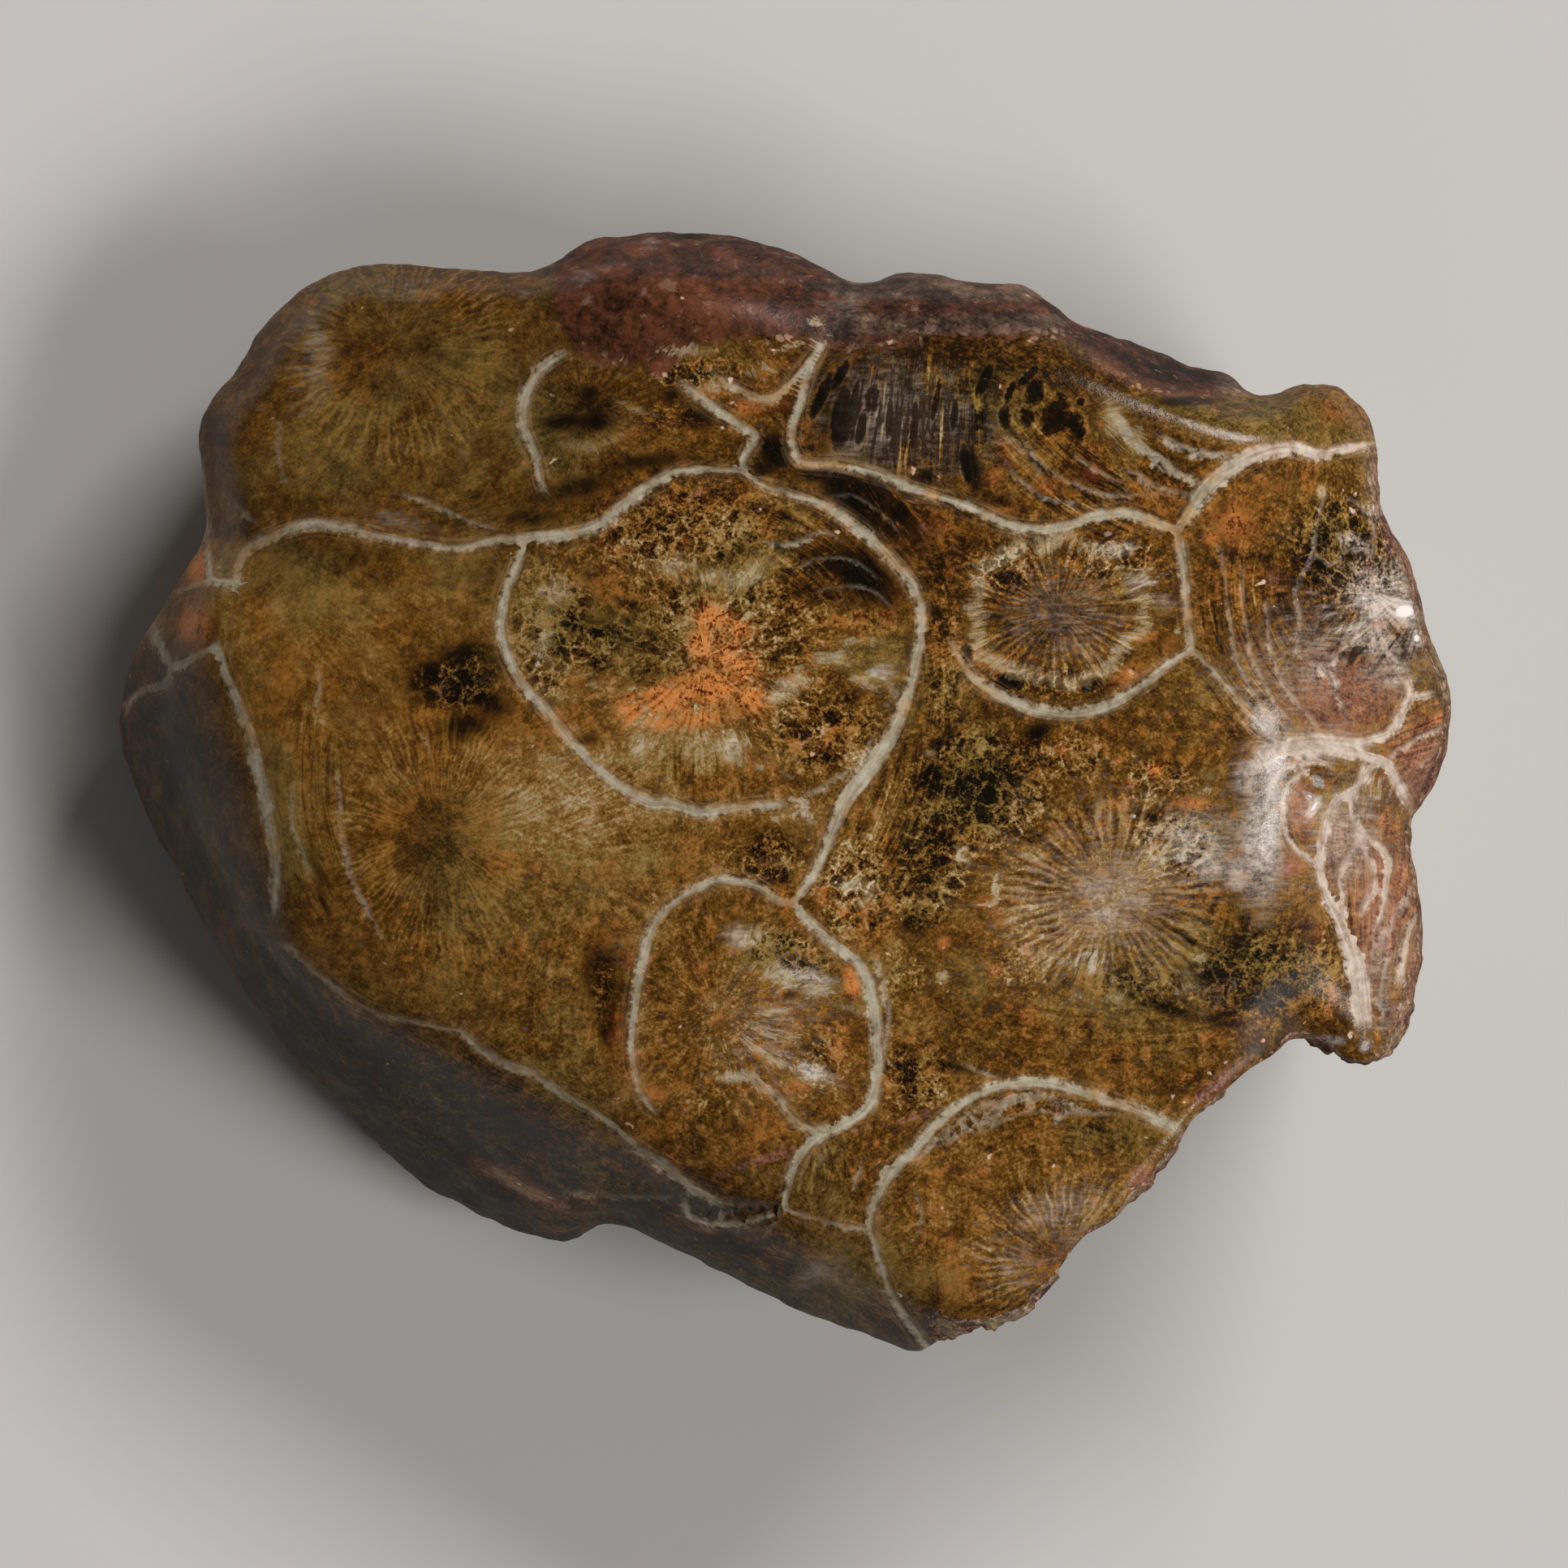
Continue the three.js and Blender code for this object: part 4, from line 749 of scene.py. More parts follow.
        (16.0, 6.7, 0.14, 0.2, 0, 1.2), (9.4, 14.2, 0.9, 0.25, -45, 0.75), (10.2, 13.1, 0.8, 0.2, -40, 0.7),
        (16.8, -6.6, 0.8, 0.25, -20, 0.8), (13.2, -8.3, 1.4, 0.4, 0, 0.6), (10.8, -6.9, 0.8, 0.5, 0, 0.6),
        (16.2, -7.8, 0.6, 0.4, 0, 0.6), (-11.2, 9.2, 0.3, 0.6, 0, 0.5), (2.9, -20.6, 1.4, 0.4, 40, 0.4),
        (1.2, -19.4, 1.0, 0.4, 30, 0.45), (21.9, 12.4, 0.2, 0.25, 0, 1.3), (12.4, 2.85, 0.25, 0.15, 0, 1.1),
        (18.2, 5.4, 0.4, 0.8, 20, 0.4),
    ],
    "ashen_and_sheen": [
        # Those at the right end, from about x 18 on, are mostly painted sheen and highlights; the rest are
        # bleached calcite.
        (19.4, -1.9, 0.85, 2.4, 0, 1.1), (18.9, 0.7, 0.6, 0.8, 0, 1.0), (19.8, 1.3, 0.8, 0.6, 0, 1.0),
        (18.5, -3.2, 0.8, 0.8, 0, 0.8), (13.2, -4.8, 1.0, 0.16, 0, 0.7), (24.6, 7.7, 1.7, 0.7, -12, 1.15),
        (25.4, 7.5, 0.6, 0.4, 10, 1.9), (25.9, 6.4, 0.22, 0.28, 0, 1.8), (23.7, 8.0, 0.4, 0.3, 0, 1.5),
        (21.6, 1.9, 2.2, 0.5, 0, 0.9), (4.1, 5.0, 0.5, 0.4, 0, 0.6), (16.4, -1.6, 1.2, 0.9, 0, 0.6),
        (17.4, -3.0, 0.9, 0.6, 0, 0.7), (-19.3, 18.2, 0.9, 2.2, 0, 0.4), (-15.6, 20.6, 1.6, 0.5, 0, 0.4),
        (11.2, -16.9, 2.2, 0.9, 20, 0.45), (23.3, 10.3, 0.7, 0.4, -20, 0.75),
        (24.4, 11.6, 0.5, 0.5, 0, 0.7), (25.2, 9.0, 0.6, 0.8, 0, 0.7), (0.9, -7.3, 1.2, 0.4, -20, 0.7),
        (1.1, -11.3, 1.0, 0.4, -20, 0.7), (-1.9, -5.8, 0.5, 0.5, 0, 0.7), (0.9, -0.8, 1.0, 0.4, -50, 0.35),
        (21.6, -0.5, 0.14, 0.4, -30, 1.9), (21.4, -0.1, 0.2, 0.12, -20, 1.8),
        (21.75, 0.55, 0.25, 0.15, -30, 1.7), (22.2, -10.0, 0.5, 0.15, 0, 1.4),
        (24.5, -7.6, 1.2, 3.0, 0, 0.5), (22.9, -1.8, 1.6, 2.4, 0, 0.6), (20.2, 0.4, 0.8, 1.2, 0, 0.5),
        (-10.6, 20.5, 0.4, 0.25, 0, 0.5), (-8.3, 21.2, 1.0, 0.4, 0, 0.35), (-5.4, 22.6, 0.4, 0.4, 0, 0.45),
        (14.4, 8.6, 0.7, 0.6, 0, 0.5), (13.6, 10.0, 0.8, 0.3, 0, 0.6), (15.5, 7.8, 0.4, 0.4, 0, 0.5),
        (-15.8, 11.2, 1.6, 0.4, -15, 0.4), (-6.6, -6.0, 0.6, 0.6, 0, 0.3), (17.6, -8.0, 1.6, 1.0, 0, 0.3),
        (13.2, -4.1, 4.4, 3.8, 0, 0.36), (1.3, -19.6, 1.4, 0.6, 30, 0.5), (24.9, 4.7, 0.9, 0.4, 0, 0.7),
        (22.2, 7.4, 0.9, 0.4, 0, 0.6), (12.7, -3.7, 1.1, 0.8, 20, 0.55), (14.2, -4.3, 1.3, 0.7, -10, 0.5),
        (13.1, -4.9, 1.2, 0.5, 0, 0.5), (-0.2, -9.4, 2.2, 2.6, -20, 0.32), (17.2, -2.2, 2.4, 1.8, 0, 0.55),
        (11.0, -17.8, 2.4, 1.2, 0, 0.3), (9.6, -19.0, 1.8, 1.8, 0, 0.32), (24.3, 8.2, 1.6, 1.4, 0, 0.85),
        (24.2, 6.3, 1.7, 0.9, -20, 0.75), (11.2, 7.3, 2.6, 2.0, 0, 0.4), (21.6, 2.1, 2.0, 0.8, 0, 0.6),
        (21.2, -0.7, 0.8, 0.9, 0, 0.4), (8.3, 14.9, 0.8, 1.4, 0, 0.3), (6.6, 15.0, 1.2, 1.8, 0, 0.55),
        (4.2, 15.4, 2.2, 2.0, 0, 0.7), (2.2, 19.9, 1.2, 0.4, 0, 0.45), (21.6, 5.8, 2.2, 2.6, -20, 0.5),
        (24.6, 5.2, 1.6, 1.4, 0, 0.55), (19.4, 4.4, 1.4, 2.0, 30, 0.35),
    ],
    "red": [
        (22.8, 4.0, 3.2, 2.2, 0, 0.75), (24.4, -4.4, 1.9, 4.2, 0, 0.75), (22.6, -2.2, 1.2, 2.4, 0, 0.65),
        (25.9, 1.4, 1.7, 2.8, 0, 0.7), (19.2, 5.6, 2.0, 2.6, 20, 0.45), (21.2, -5.0, 1.0, 2.0, 0, 0.45),
        (25.1, -3.2, 0.4, 0.9, 0, 0.9), (25.7, -6.9, 0.3, 0.7, 0, 0.9), (21.1, -0.6, 0.6, 1.3, 0, 0.95),
        (20.6, -2.9, 0.7, 0.6, 0, 0.8), (21.6, 5.7, 0.7, 0.5, 0, 0.5), (21.6, 4.2, 0.7, 0.6, 0, 0.5),
        (24.0, 3.7, 1.0, 0.7, 0, 0.6), (16.0, 16.9, 1.6, 0.7, -15, 0.9), (13.6, 17.6, 1.4, 0.7, -20, 0.8),
        (-5.2, 17.3, 0.35, 0.25, 30, 1.1), (-2.4, -15.5, 0.9, 0.1, 22, 0.9),
        (-0.6, -14.8, 1.4, 0.16, 16, 1.2), (5.4, -13.1, 1.4, 0.11, 16, 1.1),
        (3.2, -13.6, 1.0, 0.08, 14, 0.9), (-10.9, -16.0, 2.3, 0.4, -28, 1.2), (21.0, 3.6, 0.8, 0.8, 0, 0.5),
        (25.2, -9.2, 0.6, 0.8, 0, 0.9), (-22.0, -5.3, 1.7, 0.4, -15, 0.7), (-26.6, 2.6, 0.3, 1.6, 0, 0.5),
        (24.3, 13.2, 0.3, 1.0, 0, 0.8), (24.9, 10.4, 0.35, 0.9, 25, 0.8), (26.4, 5.4, 0.8, 0.8, 0, 0.5),
        (26.2, 0.8, 0.8, 1.0, 0, 0.5), (-7.2, 17.6, 1.4, 0.3, 0, 0.6), (-7.8, -0.3, 0.5, 0.3, 0, 0.6),
        (-11.0, 1.9, 0.4, 0.3, 0, 0.5), (9.3, -1.9, 0.5, 0.5, 0, 0.3), (17.6, -11.8, 1.6, 0.4, 40, 0.8),
        (14.6, -15.6, 0.8, 1.0, -40, 0.7), (10.6, -17.3, 0.8, 0.3, 0, 0.5),
        (-3.6, 12.2, 0.5, 0.15, 25, 0.9), (20.0, 8.8, 0.6, 0.4, 20, 0.6), (18.2, 4.8, 0.5, 1.0, 20, 0.4),
        (16.8, 1.4, 1.0, 0.6, 0, 0.3), (20.6, 11.2, 0.6, 0.4, 0, 0.5), (25.0, -4.9, 0.5, 0.8, 0, 0.5),
        (15.6, 5.1, 0.5, 0.2, 30, 0.6), (-23.4, 14.2, 0.3, 0.5, 0, 0.5), (-13.9, 18.9, 0.3, 0.2, 0, 0.4),
    ],
    "olive": [
        (-16.5, 17.0, 6.0, 4.5, 0, 0.5), (1.5, -20.4, 2.6, 2.2, 0, 1.0), (19.0, 15.4, 3.6, 1.0, 0, 0.9),
        (7.0, 17.4, 3.4, 1.0, 0, 0.3), (-6.4, 6.4, 2.0, 1.2, 0, 1.0), (-17.0, -13.0, 8.0, 4.5, -35, 1.2),
        (-24.8, 0.4, 1.4, 3.4, 0, 0.7), (7.6, 0.2, 2.6, 2.8, 0, 0.9), (-13.4, 4.4, 1.8, 1.2, 0, 0.8),
        (19.4, -6.4, 2.6, 2.0, 0, 0.8), (14.6, -7.4, 3.0, 1.4, 0, 0.8), (0.0, -6.8, 1.8, 0.9, -30, 1.0),
        (3.0, 5.6, 1.6, 0.7, 0, 1.0), (-5.0, -20.0, 6.0, 2.0, -25, 0.9), (-4.0, 1.4, 2.4, 1.0, 0, 0.7),
        (17.0, -2.0, 1.6, 1.6, 0, 0.5), (7.4, 8.6, 0.8, 2.0, 0, 0.5), (-9.4, 7.0, 1.2, 2.4, 0, 0.8),
        (6.0, 15.4, 3.0, 1.8, 0, 0.3), (-20.0, 9.4, 2.4, 1.2, 0, 0.8), (-9.8, 15.0, 1.6, 2.4, 0, 0.8),
        (2.2, 15.6, 1.0, 1.8, 0, 1.0), (9.2, 7.6, 1.0, 1.2, 0, 0.7), (5.4, -11.4, 1.2, 1.2, 0, 0.7),
        (-2.4, 8.8, 2.4, 0.8, 10, 0.6), (22.6, 9.8, 1.6, 1.4, 0, 0.6), (-20.6, 0.0, 0.6, 3.0, 5, 0.8),
        (-14.0, -2.2, 2.6, 3.4, 0, 0.5), (7.6, -7.6, 0.7, 1.8, 0, 0.8), (-18.0, 13.2, 2.4, 1.2, 0, 0.8),
        (12.8, -13.9, 2.0, 0.6, 0, 0.6), (3.2, 0.4, 0.6, 0.4, 0, 0.4), (0.8, -2.6, 0.8, 0.8, 0, 0.4),
    ],
    "gold": [
        (21.8, 16.0, 2.2, 0.8, -8, 0.8), (16.2, 14.8, 2.6, 0.7, -10, 0.6), (11.4, 13.6, 3.4, 1.6, -30, 1.0),
        (18.4, 11.2, 1.8, 1.8, 0, 0.9), (-19.6, 2.0, 1.6, 4.0, 0, 0.5), (-6.9, -9.4, 0.9, 4.0, 0, 0.9),
        (-4.0, 12.0, 4.0, 1.2, 0, 0.8), (1.6, -9.6, 1.6, 3.0, 0, 0.7), (-3.4, 14.4, 2.4, 0.8, 0, 0.8),
        (5.0, 7.5, 1.0, 2.4, 0, 0.6), (2.0, 2.6, 2.0, 1.6, 0, 0.5), (-13.6, -2.0, 2.4, 3.0, 0, 0.5),
        (-24.2, 8.0, 1.2, 2.4, 0, 0.8), (21.8, -7.4, 0.9, 2.6, 0, 0.8), (8.8, -12.4, 5.0, 1.4, 0, 0.3),
        (0.8, -18.4, 1.6, 0.9, 0, 1.0), (14.4, 5.2, 1.6, 0.8, 35, 0.9), (-4.6, -12.0, 1.4, 2.0, 0, 0.8),
        (6.6, 10.8, 1.6, 0.6, -15, 0.8), (2.9, -7.6, 0.7, 1.0, 0, 0.9), (13.0, 2.2, 3.0, 1.0, 0, 0.6),
        (6.8, -18.6, 0.9, 3.0, 0, 0.4), (-17.0, 0.8, 1.6, 1.2, 0, 0.4), (4.6, -2.6, 0.8, 2.6, 0, 0.3),
        (9.6, -9.6, 3.0, 0.8, -10, 0.5), (26.4, 2.6, 1.2, 1.2, 0, 0.7), (-4.6, -3.0, 2.2, 0.6, 10, 0.6),
    ],
    "mossy": [
        (-2.6, 6.6, 6.0, 4.8, 0, 0.6), (12.4, -4.4, 5.0, 4.0, 0, 0.35), (-1.4, -9.4, 3.6, 3.0, 0, 0.4),
        (-9.4, 6.8, 1.5, 2.6, 0, 1.0), (-7.6, 6.0, 1.2, 1.2, 0, 0.7), (-4.0, 10.8, 4.2, 1.8, 8, 0.8),
        (-13.2, 4.5, 2.0, 1.3, 20, 0.7), (8.0, 0.2, 2.4, 2.2, 0, 1.1), (6.0, -3.0, 1.4, 2.4, -20, 1.0),
        (3.0, -3.9, 1.4, 2.0, 0, 1.0), (1.6, 2.6, 2.4, 1.8, 0, 0.8), (0.2, -6.7, 1.8, 1.0, -30, 1.0),
        (5.3, -11.5, 1.4, 1.4, 0, 0.9), (14.6, -7.8, 3.2, 1.4, 0, 0.55), (16.0, -2.0, 1.8, 1.4, 0, 0.8),
        (19.2, -7.4, 2.4, 2.0, 0, 0.8), (-4.6, 15.4, 1.6, 1.0, 0, 0.5), (23.0, 10.0, 2.2, 2.0, 0, 1.0),
        (13.4, 9.6, 1.8, 1.0, 0, 0.8), (8.8, 9.2, 1.6, 1.2, 0, 0.8), (-0.6, -2.6, 1.4, 1.2, 0, 0.8),
        (6.6, 5.0, 0.8, 4.0, 0, 0.6), (-7.3, -8.3, 0.8, 2.2, 0, 0.5), (11.4, 1.6, 3.0, 1.2, 0, 0.6),
        (11.0, 4.6, 2.4, 0.7, 0, 0.6), (21.9, -7.6, 0.8, 2.0, 0, 0.8), (-3.4, -12.6, 2.4, 1.4, 0, 0.4),
        (15.2, 0.6, 1.6, 1.0, 0, 0.7), (1.6, -10.8, 1.4, 1.6, 0, 0.6), (9.4, -7.0, 1.6, 1.6, 0, 0.5),
        (-3.6, 17.2, 2.0, 0.8, 0, 0.8), (5.0, -7.4, 1.2, 1.6, 0, 0.5), (3.2, 7.0, 2.0, 0.8, 0, 0.5),
        (6.0, 14.6, 2.2, 2.4, 0, 0.4),
    ],
    "dull": [
        (19.9, -9.4, 1.0, 1.8, -35, 1.0),
    ],
    "glint": [
        (-8.4, 0.3, 1.2, 0.8, 0, 1.0), (-11.0, 2.2, 0.8, 0.7, 0, 1.0), (7.4, -2.2, 0.7, 0.7, 0, 0.9),
        (6.4, -7.3, 0.5, 0.5, 0, 1.1), (8.0, -4.5, 0.7, 0.5, 0, 1.0), (-5.6, 3.5, 0.9, 0.7, 0, 0.9),
        (-3.4, 6.6, 0.8, 0.7, 0, 0.9), (3.3, 1.9, 0.6, 0.8, 0, 0.9), (0.2, 0.9, 0.8, 0.5, 0, 0.8),
        (2.8, -3.6, 1.3, 0.9, 0, 1.0), (10.8, -17.2, 1.0, 0.5, 0, 0.9), (14.5, -15.8, 1.0, 1.0, 0, 1.0),
        (12.8, -17.8, 1.0, 0.6, 30, 0.9), (17.5, -12.0, 1.6, 0.6, 20, 1.0), (23.0, -10.0, 2.0, 0.5, 0, 1.1),
        (-3.4, 17.0, 1.4, 0.6, 0, 1.0), (15.4, 0.1, 1.2, 0.6, 0, 0.9), (-11.6, 8.8, 1.2, 0.8, 0, 0.5),
        (-8.9, 8.0, 1.0, 0.8, 0, 0.7), (16.2, -2.2, 1.0, 0.8, 0, 0.7), (18.4, 7.8, 1.2, 0.6, 0, 0.7),
        (-15.0, -7.0, 1.4, 0.5, -30, 0.5), (21.6, 3.2, 0.8, 0.3, -20, 1.1), (6.8, 12.6, 2.4, 0.3, -25, 0.6),
        (8.7, -14.8, 0.8, 0.4, 0, 0.8), (6.8, -18.0, 0.5, 0.8, 0, 0.8), (-6.0, -4.2, 1.6, 0.4, 0, 0.7),
        (22.0, 15.4, 1.0, 0.4, 0, 0.6), (13.2, -8.4, 2.4, 0.8, 0, 0.5), (-3.8, 12.1, 0.8, 0.3, 20, 0.9),
    ],
}
# Hollows filled nearly black, under the polish. The material draws them, as the mesh is too coarse for them.
HOLES = [
    # middle, half-sizes, turn
    (11.05, 15.4, 0.42, 0.66, -16), (11.3, 15.85, 0.3, 0.28, 20), (11.9, 15.0, 0.28, 0.5, 16),
    (10.2, 16.35, 0.3, 0.42, -16), (9.95, 17.05, 0.42, 0.14, 42), (9.9, 15.35, 0.22, 0.36, 14),
    (9.0, 15.35, 0.2, 0.36, 6), (9.2, 16.4, 0.13, 0.38, -20), (7.95, 15.3, 0.2, 0.38, -6),
    (12.1, 16.0, 0.15, 0.12, 0), (8.15, 16.85, 0.16, 0.58, -24), (6.95, 15.5, 0.12, 0.5, -6),
    (6.2, 16.1, 0.1, 0.7, -10), (7.4, 5.7, 0.24, 0.32, 0), (9.2, 4.6, 0.5, 0.28, -10),
    (12.4, 4.5, 0.4, 0.24, 15), (8.5, 4.5, 0.2, 0.18, 0), (2.35, 15.3, 0.3, 0.95, -8),
    (1.5, 16.2, 0.18, 0.8, -24), (2.3, 17.1, 0.16, 0.5, -30), (3.6, 16.1, 0.22, 0.5, -6),
    (3.15, 14.9, 0.14, 0.55, -10), (4.3, 15.3, 0.12, 0.6, -4), (2.9, 16.3, 0.1, 0.45, -12),
    (5.3, 15.1, 0.12, 0.7, -4), (7.4, 13.4, 0.16, 0.6, 8),
]


def patched(kind):
    """How strongly a kind of patch shows at each point, from 0 to about 1."""
    strongest = np.zeros(len(at))
    for *oval, strength in PATCHES[kind]:
        strongest = np.maximum(strongest, strength * soft_oval(*oval))
    return strongest


record("spans", wall_gap, strand_gap, patched("ashen_and_sheen"))
record("stains", patched("orange"), patched("dark"), np.maximum(patched("pale"), ring))
record("tinges", patched("red"), patched("olive"), patched("gold"))
record("marks", patched("mossy"), patched("glint"), patched("dull"))


# The red rock at the back
# Behind the corals the slice takes in the mud that buried them, now a fine red limestone with a grey band.
# It meets the coral along a ragged line, and it is dull where it was not lapped.
ROCK_LINE = [(-9.6, 23.5), (-9.4, 19.6), (-8.6, 18.2), (-6.6, 17.6), (-4.9, 17.3), (-3.2, 18.3), (-1.2, 18.6),
             (0.8, 18.6), (2.6, 18.2), (5.5, 18.65), (8.5, 18.7), (11.6, 18.7), (12.7, 18.0), (14.2, 16.9),
             (15.6, 16.3), (17.5, 16.3), (19.2, 16.6), (19.6, 18.0)]
BED_LEAN = 0.45  # how far the beds of mud slant sideways for each millimetre down
LEAN_FROM = 10.0  # the height under which they slant
GREY_BANDS = [
    # sets in from and to, ends from and to, how far back, half-widths without it and full of it, strength
    ((0.5, 3.0), (13.0, 11.0), 20.9, (1.1, 0.3), 1.0),
    ((0.0, 2.5), (12.5, 11.0), 19.2, (0.8, 0.2), 0.8),
]
line_x, line_y = np.array(ROCK_LINE).T
bed_x = at[:, 0] + BED_LEAN * np.clip(LEAN_FROM - at[:, 2], 0.0, None)
rock = ease(at[:, 1] - np.interp(bed_x, line_x, line_y), -0.8, 0.8)
rock *= (bed_x > line_x[0]) * ease(bed_x, -10.2, -8.8) * ease(bed_x, 19.6, 19.0)
grey_band = ease(bed_x, 17.2, 17.9)
for sets_in, ends, back, halves, strength in GREY_BANDS:
    band = strength * ease(bed_x, *sets_in) * ease(bed_x, *ends) * ease(np.abs(at[:, 1] - back), *halves)
    grey_band = np.maximum(grey_band, band)
ground = ease(facing[:, 2], 0.62, 0.4)
record("rock", rock, grey_band, ground)
sawn = ease(facing[:, 2], -0.9, -0.98) * ease(at[:, 2], 0.2, 0.02)
edge_on = ease(facing[:, 2], 0.7, 0.3)
right_edge = ease(at[:, 0], 22.0, 24.0) * ease(at[:, 1], 14.6, 13.8)
rim = np.maximum(snapped * ease(facing[:, 2], 0.86, 0.5), 0.8 * right_edge * edge_on)
record("skin", rim, sawn, edge_on)


# The stone's finish
# Calcite lapped to a soft gloss: mottled amber brown, with pale spokes and walls. The snapped sides are a
# dull red brown, and the back keeps the faint arcs of the saw.
def srgb(r, g, b):
    """A colour given as it looks on screen, 0 to 255, for a colour socket."""
    lin = [c / 255 / 12.92 if c <= 10 else ((c / 255 + 0.055) / 1.055) ** 2.4 for c in (r, g, b)]
    return (*lin, 1.0)


finish = bpy.data.materials.new("coral_stone")
finish.use_nodes = True
tree = finish.node_tree
tree.nodes.clear()


def place(kind, sockets, **settings):
    """Adds a node. A socket's value is a number, a colour or another node's output."""
    made = tree.nodes.new(kind)
    for name, value in settings.items():
        setattr(made, name, value)
    for key, value in sockets.items():
        if isinstance(value, bpy.types.NodeSocket):
            tree.links.new(value, made.inputs[key])
        else:
            made.inputs[key].default_value = value
    return made


def maths(operation, a, b=0.5, c=0.5):
    return place("ShaderNodeMath", {0: a, 1: b, 2: c}, operation=operation).outputs[0]


def times(a, b):
    return maths("MULTIPLY", a, b)


def total(*parts):
    """The sum of any number of values."""
    so_far = parts[0]
    for part in parts[1:]:
        so_far = maths("ADD", so_far, part)
    return so_far


def about(value, strength):
    """A noise value turned into a push either way, strength times as far as it is from one half."""
    return maths("MULTIPLY_ADD", value, strength, -0.5 * strength)


def rise(value, low, high, top=1.0):
    """0 where the value is below low, top above high, with a smooth rise; low may be the larger."""
    return place(
        "ShaderNodeMapRange",
        {"Value": value, "From Min": low, "From Max": high, "To Min": 0.0, "To Max": top},
        interpolation_type="SMOOTHSTEP",
    ).outputs["Result"]


def mix_values(share, a, b):
    return place("ShaderNodeMix", {0: share, 2: a, 3: b}, data_type="FLOAT").outputs[0]


def mix(share, a, b):
    """A colour between a and b."""
    return place("ShaderNodeMix", {0: share, 6: a, 7: b}, data_type="RGBA").outputs[2]


def tinted(value, low, high, dark, pale):
    """A colour that goes from dark to pale as the value goes from low to high."""
    return mix(rise(value, low, high), srgb(*dark), srgb(*pale))


def grains(where, scale, detail=3.0, rough=0.55, warp=0.0):
    return place(
        "ShaderNodeTexNoise",
        {"Vector": where, "Scale": scale, "Detail": detail, "Roughness": rough, "Distortion": warp},
    ).outputs["Fac"]


def kept(name):
    """The three values kept in one of the stone's attributes."""
    found = place("ShaderNodeAttribute", {}, attribute_name=name).outputs["Vector"]
    split = place("ShaderNodeSeparateXYZ", {0: found})
    return split.outputs[0], split.outputs[1], split.outputs[2]


def joined(x, y, z):
    return place("ShaderNodeCombineXYZ", {0: x, 1: y, 2: z}).outputs[0]


def elsewhere(x, y, z):
    """The places on the stone moved away, so that a noise there is another one."""
    return place("ShaderNodeMapping", {"Vector": spot, "Location": (x, y, z)}).outputs[0]


def veins(where, scale, half, detail=4.0):
    """A net of fine lines, where a noise passes through its middle value."""
    noise_here = grains(where, scale, detail, 0.6, 0.5)
    return rise(maths("ABSOLUTE", about(noise_here, 1.0)), half, 0.2 * half)


def bubbles(scale):
    """Round cells: how far out each place is in its own, and three values that each cell has by chance."""
    found = place("ShaderNodeTexVoronoi", {"Vector": swirled, "Scale": scale}, feature="F1")
    chances = place("ShaderNodeSeparateColor", {0: found.outputs["Color"]})
    return found.outputs["Distance"], *chances.outputs


# Places in the material are in millimetres.
spot = place(
    "ShaderNodeMapping",
    {"Vector": place("ShaderNodeTexCoord", {}).outputs["Object"], "Scale": (1000.0, 1000.0, 1000.0)},
).outputs[0]
spot_split = place("ShaderNodeSeparateXYZ", {0: spot})
x_mm, y_mm = spot_split.outputs[0], spot_split.outputs[1]

wall_d, wall_w, wall_g = kept("wall")
strand_d, strand_w, strand_g = kept("strand")
wall_far, strand_far, ashen_and_sheen_k = kept("spans")
spoke_x, spoke_y, spoke_n = kept("spoke")
pale_spokes, dark_gaps, cell_tone = kept("cup")
fibre_s, fibre_k, shade_k = kept("fibre")
orange_k, dark_k, pale_k = kept("stains")
red_k, olive_k, gold_k = kept("tinges")
mossy_k, glint_k, dull_k = kept("marks")
rock_k, grey_k, ground_k = kept("rock")
rim_k, sawn_k, edge_k = kept("skin")

to_left = rise(maths("MULTIPLY_ADD", y_mm, -0.3, x_mm), -6.0, -17.0)
broad = grains(spot, 0.16, 2.0)
slow = grains(elsewhere(7.0, 43.0, 3.0), 0.42, 2.0, 0.5, 0.6)
cloudy = grains(spot, 0.8, 4.0, 0.6)
mottled = grains(spot, 2.6, 4.0, 0.65, 0.4)
grainy = grains(spot, 7.5, 3.0, 0.7)
other = grains(elsewhere(31.0, 17.0, 5.0), 1.6, 4.0, 0.65)

# Spokes: an even comb of septa, made uneven by noise that follows them, with faint webs across.
bearing = maths("ADD", maths("ARCTAN2", spoke_y, spoke_x), about(grains(spot, 0.7, 2.0), 0.22))
from_middle = maths("SQRT", total(times(spoke_x, spoke_x), times(spoke_y, spoke_y)))
comb = maths("SINE", times(bearing, spoke_n))
round_x, round_y = maths("COSINE", bearing), maths("SINE", bearing)
coarse_spread = times(spoke_n, 0.17)
ray_noise = grains(
    joined(times(round_x, coarse_spread), times(round_y, coarse_spread), times(from_middle, 0.4)),
    1.0, 3.0, 0.6,
)
ray = total(ray_noise, times(comb, 0.09), about(grainy, 0.16), about(mottled, 0.14))
pale_ray = times(rise(ray, 0.47, 0.68), pale_spokes)
dark_ray = times(rise(ray, 0.52, 0.36), dark_gaps)
FINE_SPREAD = 20.0
streaky = grains(
    joined(times(round_x, FINE_SPREAD), times(round_y, FINE_SPREAD), times(from_middle, 1.1)),
    1.0, 3.0, 0.65,
)
webs = rise(maths("SINE", total(times(from_middle, 6.5), about(cloudy, 16.0), about(mottled, 4.0))), 0.6, 1.0)

